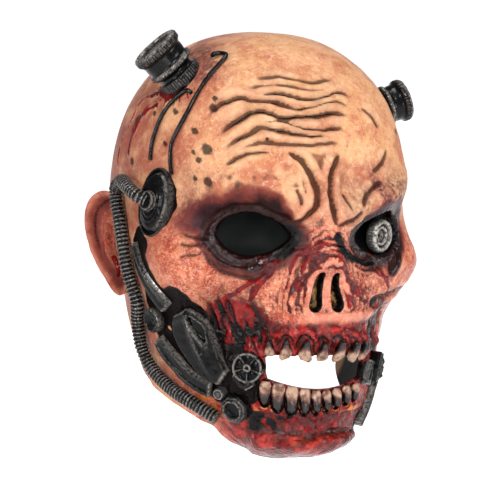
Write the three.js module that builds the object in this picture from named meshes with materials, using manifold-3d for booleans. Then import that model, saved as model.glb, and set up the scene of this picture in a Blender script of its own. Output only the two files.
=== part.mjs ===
// Zombie mask: a hollow latex shell with ears, teeth and moulded machine pieces.
// Millimetres, +Z up, the face looks along -Y. The origin is the inside of the crown, on the middle plane.
// Places on the head are given as turn, in degrees round from the middle of the face towards the left ear,
// and level, a share of the crown arc above the widest level or of the chin drop below it.
import * as THREE from 'three'
import { ParametricGeometry } from 'three/addons/geometries/ParametricGeometry.js'
import { mergeVertices } from 'three/addons/utils/BufferGeometryUtils.js'
import Module from 'manifold-3d'

// Driving sizes of the head
const wall = 3
const seatGap = 0.3
const equatorDrop = 100
const crownArc = 150
const sideDrop = 128
const chinDrop = 143
const chinRound = 19
const underArc = 60
const frontReach = 91
const sideReach = 86
const backReach = 96
const reliefDepth = 10
const furrowWidth = 3
const crownFullness = 2.3
const underFullness = 2.5

// Driving sizes of the openings
const trimReach = 64
const trimSlant = 0.12
const eyeWidth = 42
const eyeHeight = 27
const eyeTurn = 28
const eyeLevel = -0.066
const mouthTurn = 21
const mouthWidth = 66
const mouthHeight = 15
const mouthLevel = -0.605
const screenWall = 1
const screenMargin = 5
const hollowTurn = 8
const hollowLevel = -0.29
const hollowTall = 15
const hollowBacking = 7.5

// Driving sizes of the ears and teeth
const earHeight = 64
const earWidth = 33
const earWall = 4
const earSpread = 28
const earLean = 18
const earDish = 8
const earTaper = 0.34
const earOut = 0.01
const earBack = 0.55
const earDrop = 1.265
const toothHeight = 13
const toothThickness = 5

// Driving sizes of the machine pieces
const electrodeRadius = 15
const electrodeHeight = 24
const collarHeight = 5
const discHeight = 42
const discWidth = 28
const discStep = 2.6
const hubRadius = 6
const hubHeight = 7
const hoseRadius = 4
const wireRadius = 1.2
const strapWidth = 14
const plateWidth = 27
const plateThickness = 4.5
const armWidth = 11
const armThickness = 5
const hingeRadius = 7.5
const hingeHeight = 6
const boltRadius = 3.4
const boltHeight = 4
const nutRadius = 9
const nutHeight = 7
const wheelRadius = 9
const wheelHeight = 6
const bracketWidth = 15
const bracketThickness = 3
const lensRadius = 10
const lensHeight = 6
const lensFoot = 1
const lensTurn = 26.5
const lensCoreRadius = 3.4
const sink = 3

// How finely the shell is divided: turns ahead, aside and behind, levels of the crown, the face and under the chin
const frontTurn = 48
const sideTurn = 132
const frontTurnStep = 4.8
const sideTurnStep = 12
const backTurnStep = 24
const crownStart = 0.62
const crownLevelStep = 19
const faceLevelStep = 6.6
const underLevelStep = 15

// How many sides the turned and routed pieces have, and how many steps along the routes
const electrodeSides = 12
const discSides = 14
const hubSides = 10
const nutSides = 8
const boltSides = 6
const lensSides = 12
const lensCoreSides = 8
const hoseSides = 8
const hoseSteps = 28
const wireSides = 4
const frontWireSteps = 15
const rearWireSteps = 9
const plateSteps = 7
const armSteps = 7
const strapSteps = 6
const bracketSteps = 4
const earSides = 14
const earRings = 8

const degree = Math.PI / 180
const crownRise = wall + equatorDrop

// Level sections of the head: drop and reaches as shares of the chin drop and the three reaches
const sections = [
  { drop: 0, front: 1, side: 1, back: 1, squareness: 2.25 },
  { drop: 0.21, front: 1, side: 0.965, back: 0.958, squareness: 2.3 },
  { drop: 0.42, front: 1.011, side: 0.884, back: 0.854, squareness: 2.2 },
  { drop: 0.63, front: 1.022, side: 0.802, back: 0.771, squareness: 2.15 },
  { drop: 0.8, front: 1.011, side: 0.698, back: 0.6875, squareness: 2.15 },
  { drop: 0.94, front: 0.967, side: 0.558, back: 0.604, squareness: 2.2 },
  { drop: 1.05, front: 0.857, side: 0.395, back: 0.479, squareness: 2.2 },
]

// Broad forms, the same on both sides: place, spread in degrees and level share, slant and lift share
const forms = [
  { name: 'brow', turn: 27, level: 0.085, wide: 15, tall: 0.05, slant: 0.0034, lift: 0.7 },
  { name: 'glabella', turn: 0, level: 0.06, wide: 8, tall: 0.07, slant: 0, lift: 0.5 },
  { name: 'socket', turn: 27, level: -0.068, wide: 13, tall: 0.075, slant: 0, lift: -1.15 },
  { name: 'nose bridge', turn: 0, level: -0.1, wide: 7, tall: 0.085, slant: 0, lift: 1 },
  { name: 'nose end', turn: 0, level: -0.17, wide: 6, tall: 0.035, slant: 0, lift: 0.5 },
  { name: 'upper jaw', turn: 0, level: -0.43, wide: 20, tall: 0.12, slant: 0, lift: 0.4 },
  { name: 'cheekbone', turn: 56, level: -0.22, wide: 15, tall: 0.095, slant: 0, lift: 1.05 },
  { name: 'hollow cheek', turn: 36, level: -0.45, wide: 12, tall: 0.1, slant: 0, lift: -0.6 },
  { name: 'temple', turn: 62, level: 0.1, wide: 12, tall: 0.1, slant: 0, lift: -0.3 },
  { name: 'chin', turn: 0, level: -0.93, wide: 17, tall: 0.05, slant: 0, lift: 0.35 },
  { name: 'upper gum', turn: 0, level: -0.5, wide: 22, tall: 0.035, slant: 0, lift: 0.35 },
  { name: 'lower gum', turn: 0, level: -0.79, wide: 20, tall: 0.035, slant: 0, lift: 0.25 },
]

// Nose hollows and furrows that the outer face alone has, each along a line between two places
const furrows = [
  { name: 'right nose hollow', turnA: -3.6, levelA: -0.235, turnB: -3.8, levelB: -0.34, width: 1.05, lift: -0.7 },
  { name: 'left nose hollow', turnA: 3.2, levelA: -0.235, turnB: 4.4, levelB: -0.34, width: 1.05, lift: -0.7 },
  { name: 'top furrow', turnA: -25, levelA: 0.56, turnB: 5, levelB: 0.53, width: 1, lift: -0.15 },
  { name: 'second furrow right', turnA: -25, levelA: 0.487, turnB: -8, levelB: 0.45, width: 1, lift: -0.16 },
  { name: 'second furrow left', turnA: -8, levelA: 0.45, turnB: 18, levelB: 0.48, width: 1, lift: -0.16 },
  { name: 'third furrow right', turnA: -38, levelA: 0.41, turnB: -10, levelB: 0.43, width: 1, lift: -0.18 },
  { name: 'third furrow left', turnA: 0, levelA: 0.42, turnB: 17, levelB: 0.4, width: 1, lift: -0.16 },
  { name: 'fourth furrow right', turnA: -44, levelA: 0.3, turnB: -20, levelB: 0.37, width: 1, lift: -0.16 },
  { name: 'fourth furrow left', turnA: -18, levelA: 0.34, turnB: 12, levelB: 0.35, width: 1, lift: -0.16 },
  { name: 'fifth furrow', turnA: -30, levelA: 0.27, turnB: 12, levelB: 0.29, width: 1, lift: -0.16 },
  { name: 'right frown', turnA: -8, levelA: 0.02, turnB: -6, levelB: 0.26, width: 0.9, lift: -0.18 },
  { name: 'left frown', turnA: 5, levelA: 0.02, turnB: 3, levelB: 0.26, width: 0.9, lift: -0.18 },
  { name: 'chin ledge', turnA: -20, levelA: -0.85, turnB: 20, levelB: -0.85, width: 1, lift: -0.1 },
]

// Back and lower edge of the shell in side view: y as shares of the trim reach, z as shares of the height
const trimEdge = [
  { back: 1.06, up: 0.4 },
  { back: 1, up: -0.07 },
  { back: 0.95, up: -0.28 },
  { back: 0.9, up: -0.46 },
  { back: 0.72, up: -0.62 },
  { back: 0.38, up: -0.71 },
  { back: 0.22, up: -0.79 },
  { back: 0.16, up: -0.84 },
  { back: -0.05, up: -0.877 },
  { back: -0.38, up: -0.902 },
  { back: -0.72, up: -0.925 },
  { back: -0.9, up: -0.96 },
  { back: -0.92, up: -1.2 },
]

// Teeth: turn of the middle, width in millimetre shares of the tooth height, and length share
const upperTeeth = [
  { turn: -19.5, width: 0.5, long: 0.75, level: -0.515 },
  { turn: -14.3, width: 0.62, long: 0.95, level: -0.515 },
  { turn: -7.8, width: 0.72, long: 1.05, level: -0.517 },
  { turn: -1.8, width: 0.62, long: 0.95, level: -0.52 },
  { turn: 4.6, width: 0.72, long: 1.05, level: -0.52 },
  { turn: 11.2, width: 0.68, long: 1, level: -0.53 },
  { turn: 17.2, width: 0.58, long: 0.9, level: -0.535 },
]
const lowerTeeth = [
  { turn: -20.2, width: 0.54, long: 1.04, level: -0.703 },
  { turn: -15.6, width: 0.58, long: 1.2, level: -0.716 },
  { turn: -10.8, width: 0.57, long: 1.18, level: -0.7275 },
  { turn: -6.2, width: 0.5, long: 1.08, level: -0.7325 },
  { turn: -2, width: 0.46, long: 0.97, level: -0.7355 },
  { turn: 2, width: 0.42, long: 0.9, level: -0.7325 },
  { turn: 6.2, width: 0.44, long: 0.83, level: -0.724 },
  { turn: 10.8, width: 0.46, long: 0.79, level: -0.7145 },
  { turn: 15.4, width: 0.44, long: 0.75, level: -0.7075 },
]

// Routes on the head, with turns counted positive on either side
const hoseRoute = [
  { turn: 72.5, level: 0.045, lift: 11.5 },
  { turn: 80, level: 0.08, lift: 10 },
  { turn: 87.4, level: 0.095, lift: 6.5 },
  { turn: 94.5, level: 0.043, lift: 5 },
  { turn: 90, level: -0.08, lift: 4.6 },
  { turn: 86, level: -0.19, lift: 4.6 },
  { turn: 84.2, level: -0.302, lift: 4.6 },
  { turn: 83, level: -0.4, lift: 4.6 },
  { turn: 86, level: -0.5, lift: 4.6 },
  { turn: 86, level: -0.6, lift: 4.6 },
  { turn: 79.5, level: -0.677, lift: 4.6 },
  { turn: 66, level: -0.735, lift: 4.6 },
  { turn: 50, level: -0.78, lift: 4.6 },
  { turn: 38.5, level: -0.825, lift: 4 },
]
const frontWireRoute = [
  { turn: 62.3, level: 0.66, lift: 1.6 },
  { turn: 54.5, level: 0.668, lift: 1.6 },
  { turn: 50.5, level: 0.648, lift: 1.6 },
  { turn: 54, level: 0.56, lift: 1.6 },
  { turn: 56.6, level: 0.47, lift: 1.6 },
  { turn: 58.4, level: 0.395, lift: 1.6 },
  { turn: 61.2, level: 0.32, lift: 1.6 },
  { turn: 62.8, level: 0.27, lift: 1.6 },
  { turn: 62.4, level: 0.207, lift: 1.6 },
  { turn: 61.8, level: 0.15, lift: 1.6 },
]
const rearWireRoute = [
  { turn: 61, level: 0.475, lift: 1.6 },
  { turn: 63.4, level: 0.483, lift: 1.6 },
  { turn: 67.6, level: 0.453, lift: 1.6 },
  { turn: 71.8, level: 0.4, lift: 1.6 },
  { turn: 73.8, level: 0.325, lift: 1.6 },
  { turn: 74.4, level: 0.255, lift: 1.6 },
  { turn: 74.6, level: 0.2, lift: 1.6 },
]
const strapRoute = [
  { turn: 80, level: -0.15, width: 0.3 },
  { turn: 75.5, level: -0.225, width: 0.6 },
  { turn: 71, level: -0.3, width: 0.85 },
  { turn: 67, level: -0.36, width: 1 },
  { turn: 63, level: -0.405, width: 0.85 },
]
const plateRoute = [
  { turn: 56.8, level: -0.408, width: 0.35 },
  { turn: 55, level: -0.435, width: 0.72 },
  { turn: 52.5, level: -0.487, width: 1 },
  { turn: 47.2, level: -0.563, width: 0.92 },
  { turn: 41.8, level: -0.622, width: 0.72 },
  { turn: 35.5, level: -0.668, width: 0.4 },
]
const armRoute = [
  { turn: 72.5, level: -0.545, width: 0.8 },
  { turn: 67, level: -0.59, width: 1 },
  { turn: 61, level: -0.628, width: 1 },
  { turn: 54, level: -0.675, width: 1 },
  { turn: 46, level: -0.705, width: 1 },
  { turn: 41, level: -0.716, width: 0.9 },
]
const leftArmRoute = [
  { turn: 37.5, level: -0.68, width: 0.8 },
  { turn: 36.4, level: -0.714, width: 1 },
  { turn: 35, level: -0.758, width: 1 },
  { turn: 32.8, level: -0.79, width: 1 },
  { turn: 30.1, level: -0.83, width: 0.9 },
  { turn: 27.4, level: -0.875, width: 0.6 },
]
const bracketRoute = [
  { turn: 32, level: -0.635, width: 0.35 },
  { turn: 28, level: -0.655, width: 0.8 },
  { turn: 25.5, level: -0.69, width: 0.45 },
]
const leftBracketRoute = [
  { turn: 26, level: -0.592, width: 0.5 },
  { turn: 24.2, level: -0.64, width: 0.6 },
  { turn: 23.4, level: -0.69, width: 0.5 },
]

// Places of the round pieces
const electrodePlace = { turn: 75.8, level: 0.553, leanIn: 0.05, leanBack: 0.28, leanUp: 0.09, size: 1 }
const leftElectrodePlace = { turn: 85, level: 0.42, leanIn: 0, leanBack: -0.05, leanUp: -0.1, size: 0.86 }
const discPlace = { turn: 67.6, level: 0.024 }
const hingePlace = { turn: 73, level: -0.465 }
const boltPlace = { turn: 37, level: -0.722 }
const nutPlace = { turn: 30.8, level: -0.78 }
const wheelPlace = { turn: 26.4, level: -0.604 }
const leftWheelPlace = { turn: 33.5, level: -0.63 }
const lensPlace = { turn: 31, level: -0.081 }
const wheelSpokes = 5

const wasm = await Module()
wasm.setup()

// Height or depth of a level share
function levelAt(share) {
  return share * (share > 0 ? crownArc : chinDrop)
}

// A column of the section table at a share of the drop, along a smooth curve
function sectionAt(share, column) {
  const last = sections.length - 1
  let i = 0
  while (i < last - 1 && share > sections[i + 1].drop) i += 1
  const slope = (k) => {
    if (k === 0) return 0
    const after = sections[Math.min(k + 1, last)]
    const before = sections[k - 1]
    return (after[column] - before[column]) / (after.drop - before.drop)
  }
  const span = sections[i + 1].drop - sections[i].drop
  const t = Math.min(Math.max((share - sections[i].drop) / span, 0), 1)
  const startWeight = 2 * t ** 3 - 3 * t ** 2 + 1
  const startSlope = (t ** 3 - 2 * t ** 2 + t) * span * slope(i)
  const endSlope = (t ** 3 - t ** 2) * span * (i + 1 === last ? slope(last) : slope(i + 1))
  return startWeight * sections[i][column] + startSlope + (1 - startWeight) * sections[i + 1][column] + endSlope
}

// Lift of the broad forms
function formLift(turn, level) {
  let lift = 0
  for (const form of forms) {
    const across = (Math.abs(turn) - form.turn) / form.wide
    const middle = levelAt(form.level + form.slant * (Math.abs(turn) - form.turn))
    const along = (level - middle) / (form.tall * (form.level > 0 ? crownArc : chinDrop))
    lift += form.lift * reliefDepth * Math.exp(-0.5 * (across ** 2 + along ** 2))
  }
  return lift
}

// Lift of the furrows, by the distance from each one's line
function furrowLift(turn, level) {
  const place = new THREE.Vector2(turn * degree * frontReach, level)
  const near = new THREE.Vector2()
  let lift = 0
  for (const furrow of furrows) {
    const start = new THREE.Vector2(furrow.turnA * degree * frontReach, levelAt(furrow.levelA))
    const way = new THREE.Vector2(furrow.turnB * degree * frontReach, levelAt(furrow.levelB)).sub(start)
    const share = near.copy(place).sub(start).dot(way) / way.lengthSq()
    near.copy(start).addScaledVector(way, Math.min(Math.max(share, 0), 1))
    const away = near.distanceTo(place) / (furrow.width * furrowWidth)
    lift += furrow.lift * reliefDepth * Math.exp(-0.5 * away ** 2)
  }
  return lift
}

// Point of the head, bare or with its furrows
function headPoint(turn, level, furrowed) {
  const angle = turn * degree
  const under = Math.min(Math.max((-level - sideDrop) / underArc, 0), 1) * Math.PI / 2
  const sunk = Math.sin(under) ** (2 / underFullness)
  const kept = Math.cos(under) ** (2 / underFullness)
  const drop = Math.min(Math.max(-level, 0), sideDrop) + chinRound * sunk
  const share = drop / chinDrop
  const ahead = Math.cos(angle) > 0 ? frontReach * sectionAt(share, 'front') : backReach * sectionAt(share, 'back')
  const aside = sideReach * sectionAt(share, 'side')
  const power = sectionAt(share, 'squareness')
  const ring = Math.abs(Math.cos(angle) / ahead) ** power + Math.abs(Math.sin(angle) / aside) ** power
  const rise = Math.min(Math.max(level / crownArc, 0), 1) * Math.PI / 2
  const flat = Math.abs(Math.cos(rise) * ring ** (1 / power)) ** crownFullness
  const reach = (flat + Math.abs(Math.sin(rise) / crownRise) ** crownFullness) ** (-1 / crownFullness)
  const carved = reach + formLift(turn, level) + (furrowed ? furrowLift(turn, level) : 0)
  const radius = carved * Math.cos(rise) * kept
  const height = carved * Math.sin(rise) - equatorDrop - drop
  return new THREE.Vector3(radius * Math.sin(angle), -radius * Math.cos(angle), height)
}

// Outward direction of the head at a place
function headNormal(turn, level, furrowed = false) {
  const step = 0.5
  const across = headPoint(turn + step, level, furrowed).sub(headPoint(turn - step, level, furrowed))
  const along = headPoint(turn, level + step, furrowed).sub(headPoint(turn, level - step, furrowed))
  const out = across.cross(along)
  if (out.length() < 1e-6) return new THREE.Vector3(0, 0, Math.sign(level))
  return out.normalize()
}

// Closed solid from a geometry: shared corners joined, empty faces dropped, faces turned outwards
function solidFrom(geometry) {
  geometry.deleteAttribute('normal')
  geometry.deleteAttribute('uv')
  const merged = mergeVertices(geometry, 1e-3)
  const points = merged.attributes.position
  const corners = merged.index.array
  const faces = []
  let volume = 0
  const [a, b, c] = [new THREE.Vector3(), new THREE.Vector3(), new THREE.Vector3()]
  for (let i = 0; i < corners.length; i += 3) {
    const [p, q, r] = [corners[i], corners[i + 1], corners[i + 2]]
    if (p === q || q === r || r === p) continue
    faces.push([p, q, r])
    a.fromBufferAttribute(points, p)
    b.fromBufferAttribute(points, q)
    c.fromBufferAttribute(points, r)
    volume += a.dot(b.cross(c))
  }
  const turned = faces.flatMap(([p, q, r]) => (volume > 0 ? [p, q, r] : [p, r, q]))
  const vertProperties = new Float32Array(points.array)
  return new wasm.Manifold(new wasm.Mesh({ numProp: 3, vertProperties, triVerts: new Uint32Array(turned) }))
}

// Numbers from one value to another in near-equal steps
function spread(from, to, step) {
  const count = Math.max(Math.round(Math.abs(to - from) / step), 1)
  return Array.from({ length: count }, (_, i) => from + (to - from) * i / count)
}

// Closed surface over a grid: one ring of turns for each level, closed at the crown and under the chin
function gridSolid(turns, levels, pointAt) {
  const geometry = new ParametricGeometry((u, v, target) => {
    const turn = turns[Math.round(u * turns.length) % turns.length]
    target.copy(pointAt(turn, levels[Math.round(v * (levels.length - 1))]))
  }, turns.length, levels.length - 1)
  return solidFrom(geometry)
}

// Loft through rings of equal counts, closed by a fan at each end
function loft(rings) {
  const middleOf = (ring) => ring.reduce((sum, p) => sum.add(p), new THREE.Vector3()).divideScalar(ring.length)
  const first = middleOf(rings[0])
  const last = middleOf(rings[rings.length - 1])
  const count = rings[0].length
  return new ParametricGeometry((u, v, target) => {
    const row = Math.round(v * (rings.length + 1))
    if (row === 0) target.copy(first)
    else if (row > rings.length) target.copy(last)
    else target.copy(rings[row - 1][Math.round(u * count) % count])
  }, count, rings.length + 1)
}

// Frame on the head: x runs towards the left ear, y upwards, z outwards
function seatFrame(turn, level, lift = 0, lean = new THREE.Vector3()) {
  const out = headNormal(turn, level).add(lean).normalize()
  const up = new THREE.Vector3(0, 0, 1).projectOnPlane(out).normalize()
  const across = new THREE.Vector3().crossVectors(up, out)
  return new THREE.Matrix4().makeBasis(across, up, out).setPosition(headPoint(turn, level).addScaledVector(out, lift))
}

// Turned piece on the head: profile rows of radius and height, stretched across by a share
function turnedPiece(frame, profile, sides, across = 1) {
  const outline = profile.map(([radius, height]) => new THREE.Vector2(radius, height))
  const geometry = new THREE.LatheGeometry(outline, sides)
  geometry.rotateX(Math.PI / 2)
  geometry.rotateZ(Math.PI / sides)
  geometry.scale(across, 1, 1)
  geometry.applyMatrix4(frame)
  return geometry
}

// Points of a smooth route over the head, with a share of its width at each
function routePoints(route, count) {
  const places = route.map((row) => new THREE.Vector3(row.turn, levelAt(row.level), row.lift ?? 0))
  const widths = route.map((row) => new THREE.Vector3(row.width ?? 1, 0, 0))
  const way = new THREE.CatmullRomCurve3(places, false, 'centripetal')
  const wide = new THREE.CatmullRomCurve3(widths, false, 'catmullrom')
  return Array.from({ length: count + 1 }, (_, i) => {
    const place = way.getPoint(i / count)
    return { turn: place.x, level: place.y, lift: place.z, width: wide.getPoint(i / count).x }
  })
}

// Plate that follows the head along a route, with bevelled edges
function routedPlate(route, width, thickness, grow, count) {
  const stations = routePoints(route, count)
  const centres = stations.map((s) => headPoint(s.turn, s.level))
  const rings = stations.map((s, i) => {
    const ahead = centres[Math.min(i + 1, count)].clone().sub(centres[Math.max(i - 1, 0)])
    const out = headNormal(s.turn, s.level)
    const aside = new THREE.Vector3().crossVectors(ahead, out).normalize()
    const half = s.width * width / 2 + grow
    const bevel = Math.min(thickness / 2, half / 2)
    const top = thickness + grow
    const section = [[-half, -sink - grow], [half, -sink - grow], [half, top - bevel], [half - bevel, top],
      [bevel - half, top], [-half, top - bevel]]
    return section.map(([x, y]) => centres[i].clone().addScaledVector(aside, x).addScaledVector(out, y))
  })
  return loft(rings)
}

// Round cord or hose along a route over the head
function routedTube(route, radius, grow, sides, steps) {
  const points = routePoints(route, route.length * 3).map((s) => {
    return headPoint(s.turn, s.level).addScaledVector(headNormal(s.turn, s.level), s.lift)
  })
  const section = Array.from({ length: sides }, (_, i) => {
    const angle = 2 * Math.PI * (i + 0.5) / sides
    return new THREE.Vector2((radius + grow) * Math.cos(angle), (radius + grow) * Math.sin(angle))
  })
  const extrudePath = new THREE.CatmullRomCurve3(points, false, 'centripetal')
  return new THREE.ExtrudeGeometry(new THREE.Shape(section), { steps, bevelEnabled: false, extrudePath })
}

// Almond opening: a pointed inner corner, a high upper lid and a flatter lower lid
function eyeOutline(side, grow) {
  const half = eyeWidth / 2 + grow
  const tall = eyeHeight / 2 + grow
  const outline = new THREE.Shape()
  outline.moveTo(-side * half, -tall * 0.1)
  outline.bezierCurveTo(-side * half * 0.6, tall * 0.8, side * half * 0.1, tall * 1.25, side * half * 0.65, tall * 0.62)
  outline.quadraticCurveTo(side * half * 0.95, tall * 0.35, side * half, -tall * 0.1)
  outline.bezierCurveTo(side * half * 0.7, -tall * 1.05, -side * half * 0.3, -tall * 1.35, -side * half, -tall * 0.1)
  return outline
}

// Prism of an outline along a frame's own outward axis
function prism(outline, frame, from, to, curveSegments) {
  const geometry = new THREE.ExtrudeGeometry(outline, { depth: to - from, bevelEnabled: false, curveSegments })
  geometry.translate(0, 0, from)
  geometry.applyMatrix4(frame)
  return solidFrom(geometry)
}

// Ear: a dished leaf, its front face from the middle out to the rim and its back face in again
function earSolid(side) {
  const spreadAngle = earSpread * degree
  const back = new THREE.Vector3(side * Math.sin(spreadAngle), Math.cos(spreadAngle), 0)
  const out = new THREE.Vector3(side * Math.cos(spreadAngle), -Math.sin(spreadAngle), 0)
  const lean = earLean * degree
  const up = new THREE.Vector3(0, 0, Math.cos(lean)).addScaledVector(back, Math.sin(lean))
  const across = back.clone().multiplyScalar(Math.cos(lean)).add(new THREE.Vector3(0, 0, -Math.sin(lean)))
  const middle = new THREE.Vector3(side * (sideReach + earOut * earWidth), earBack * earWidth, -earDrop * equatorDrop)
  const geometry = new ParametricGeometry((u, v, target) => {
    const angle = 2 * Math.PI * u
    const front = v <= 0.5
    const share = front ? 2 * v : 2 - 2 * v
    const egg = 1 + earTaper * Math.sin(angle)
    const wide = earWidth / 2 * egg * Math.cos(angle) * share
    const tall = earHeight / 2 * Math.sin(angle) * share
    const dish = -earDish * (1 - share ** 2) - (share > 0.8 ? earWall / 2 : 0) * (front ? -1 : 1)
    const height = front ? dish : dish - earWall * (1 - share ** 6)
    target.copy(middle).addScaledVector(across, wide).addScaledVector(up, tall).addScaledVector(out, height)
  }, earSides, earRings)
  return solidFrom(geometry)
}

// Row of teeth: each a lofted peg, blunt at its biting end, joined by a bar behind the roots
function toothRow(rows, bite) {
  const pegs = rows.map((row) => {
    const level = levelAt(row.level)
    const long = row.long * toothHeight
    const wide = row.width * toothHeight
    const stations = [[0.5, 0.72, 0.75], [-0.05, 1, 1], [-0.5, 0.7, 0.55]]
    const rings = stations.map(([along, wideShare, thickShare]) => {
      const frame = seatFrame(row.turn, level + bite * along * long)
      const half = wide * wideShare / 2
      const deep = toothThickness * thickShare / 2
      const loop = [[half, 0], [0, deep], [-half, 0], [0, -deep]]
      return loop.map(([x, z]) => new THREE.Vector3(x, 0, z + toothThickness * 0.3).applyMatrix4(frame))
    })
    return solidFrom(loft(rings))
  })
  const bar = rows.map((row) => {
    const frame = seatFrame(row.turn, levelAt(row.level) + bite * toothHeight * 0.2)
    const half = toothThickness * 0.35
    const loop = [[half, half], [-half, half], [-half, -half], [half, -half]]
    return loop.map(([y, z]) => new THREE.Vector3(0, y, z).applyMatrix4(frame))
  })
  return pegs.reduce((sum, peg) => sum.add(peg), solidFrom(loft(bar)))
}

// The shell
const turns = [
  ...spread(-180, -sideTurn, backTurnStep),
  ...spread(-sideTurn, -frontTurn, sideTurnStep),
  ...spread(-frontTurn, frontTurn, frontTurnStep),
  ...spread(frontTurn, sideTurn, sideTurnStep),
  ...spread(sideTurn, 180, backTurnStep),
]
const levels = [
  ...spread(crownArc, crownStart * crownArc, crownLevelStep),
  ...spread(crownStart * crownArc, -sideDrop, faceLevelStep),
  ...spread(-sideDrop, -sideDrop - underArc, underLevelStep),
  -sideDrop - underArc,
]
const everySecond = (_, i) => i % 2 === 0
const innerTurns = turns.filter(everySecond)
const innerLevels = [...levels.slice(0, -1).filter(everySecond), -sideDrop - underArc]

const outerForm = gridSolid(turns, levels, (turn, level) => headPoint(turn, level, true))
const clearForm = gridSolid(turns, levels, (turn, level) => {
  return headPoint(turn, level, true).addScaledVector(headNormal(turn, level, true), seatGap)
})
// The inside of the shell lies deeper behind the nose hollows, so that the wall goes on behind them
const insideAt = (depth) => gridSolid(innerTurns, innerLevels, (turn, level) => {
  const away = (turn / hollowTurn) ** 2 + ((level - levelAt(hollowLevel)) / hollowTall) ** 2
  const backing = hollowBacking * Math.exp(-0.5 * away)
  return headPoint(turn, level, false).addScaledVector(headNormal(turn, level), -depth - backing)
})
const innerForm = insideAt(wall)

// What lies behind and below the edge, as one prism across the head
function trimBody() {
  const height = equatorDrop + chinDrop
  const far = 2 * backReach
  const edge = trimEdge.map((row) => new THREE.Vector2(row.back * trimReach, row.up * height))
  const smooth = new THREE.SplineCurve(edge).getPoints(trimEdge.length * 2)
  const outline = new THREE.Shape([...smooth, new THREE.Vector2(far, -far * 2), new THREE.Vector2(far, far)])
  const across = new THREE.Matrix4().makeBasis(
    new THREE.Vector3(0, 1, 0), new THREE.Vector3(0, 0, 1), new THREE.Vector3(1, -trimSlant, 0))
  return prism(outline, across, -far, far, 1)
}

// Mouth opening between the rows of teeth, wrapped round the face by following the arch of the jaw
function mouthCutter() {
  const half = mouthWidth / 2
  const frame = new THREE.Matrix4().makeBasis(
    new THREE.Vector3(1, 0, 0), new THREE.Vector3(0, 0, 1), new THREE.Vector3(0, -1, 0))
  frame.setPosition(0, 0, -equatorDrop + levelAt(mouthLevel))
  const outline = new THREE.Shape()
  outline.moveTo(-half, mouthHeight * 0.5)
  outline.quadraticCurveTo(0, mouthHeight * 0.62, half, mouthHeight * 0.42)
  outline.lineTo(half * 0.92, -mouthHeight * 0.5)
  outline.quadraticCurveTo(0, -mouthHeight * 1.15, -half * 0.95, -mouthHeight * 0.42)
  outline.closePath()
  return prism(outline, frame, frontReach * Math.cos(2 * mouthTurn * degree), frontReach * 1.3, 6)
}

const eyeFrame = (side) => seatFrame(side * eyeTurn, levelAt(eyeLevel))
const eyeCutter = (side) => prism(eyeOutline(side, 0), eyeFrame(side), -4 * wall, 8 * wall, 4)

const skin = outerForm
  .subtract(innerForm)
  .subtract(trimBody())
  .subtract(eyeCutter(-1))
  .subtract(eyeCutter(1))
  .subtract(mouthCutter())

// Screen behind an eye opening: a thin sheet just inside the shell
const screenFront = insideAt(wall + seatGap)
const screenBack = insideAt(wall + seatGap + screenWall)
function eyeScreen(side) {
  return prism(eyeOutline(side, screenMargin), eyeFrame(side), -8 * wall, 8 * wall, 3).intersect(screenFront)
    .subtract(screenBack)
}

// The group, filled in order: an earlier piece keeps its form and a later one is cut clear of it
const model = new THREE.Group()
const settled = []

const finishes = {
  latex: { color: 0xc98a6b, roughness: 0.55, metalness: 0 },
  screen: { color: 0x14100e, roughness: 0.35, metalness: 0 },
  teeth: { color: 0xd8c196, roughness: 0.4, metalness: 0 },
  gunmetal: { color: 0x2a2a2c, roughness: 0.45, metalness: 0.35 },
  steel: { color: 0x8c8c8c, roughness: 0.4, metalness: 0.6 },
}

function addNode(name, solid, finish) {
  const { vertProperties, triVerts, numProp } = solid.getMesh()
  const geometry = new THREE.BufferGeometry()
  geometry.setAttribute('position', new THREE.BufferAttribute(new Float32Array(vertProperties), numProp))
  geometry.setIndex(new THREE.BufferAttribute(new Uint32Array(triVerts), 1))
  geometry.computeVertexNormals()
  const mesh = new THREE.Mesh(geometry, new THREE.MeshStandardMaterial(finishes[finish]))
  mesh.name = name
  model.add(mesh)
}

// A piece on the shell: make(grow) gives its geometry, grown all round by that much
function addPiece(name, finish, make, mirrored = false) {
  const shaped = (grow) => {
    const geometry = make(grow)
    if (mirrored) geometry.applyMatrix4(new THREE.Matrix4().makeScale(-1, 1, 1))
    return solidFrom(geometry)
  }
  let solid = shaped(0).subtract(clearForm)
  for (const earlier of settled) solid = solid.subtract(earlier)
  addNode(name, largest(solid), finish)
  settled.push(shaped(seatGap))
}

// The largest of the solids that a cut leaves
const largest = (solid) => solid.decompose().sort((a, b) => b.volume() - a.volume())[0]

addNode('mask_skin', skin, 'latex')
addNode('ear_right', largest(earSolid(-1).subtract(clearForm)), 'latex')
addNode('ear_left', largest(earSolid(1).subtract(clearForm)), 'latex')
addNode('eye_screen_right', eyeScreen(-1), 'screen')
addNode('eye_screen_left', eyeScreen(1), 'screen')
addNode('upper_teeth', toothRow(upperTeeth, 1).subtract(clearForm), 'teeth')
addNode('lower_teeth', toothRow(lowerTeeth, -1).subtract(clearForm), 'teeth')

// Terminals on the skull: a knurled collar on the skin and a flanged drum on the collar
function electrodeProfiles(grow, size) {
  const wide = electrodeRadius * size + grow
  const low = collarHeight * size
  const high = electrodeHeight * size + grow
  const collar = [[0, -3 * sink - grow], [wide * 0.86, -3 * sink - grow], [wide * 0.86, low * 0.4 + grow],
    [wide * 0.72, low * 0.6 + grow], [wide * 0.72, low + grow], [0, low + grow]]
  const start = low + seatGap - grow
  const drum = [[0, start], [wide * 0.75, start], [wide * 0.93, high * 0.3], [wide * 0.93, high * 0.42],
    [wide * 0.88, high * 0.46], [wide * 0.88, high * 0.72], [wide, high * 0.8], [wide, high * 0.93],
    [wide * 0.93, high], [wide * 0.84, high], [wide * 0.8, high * 0.93], [0, high * 0.93]]
  return { collar, drum }
}

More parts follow.
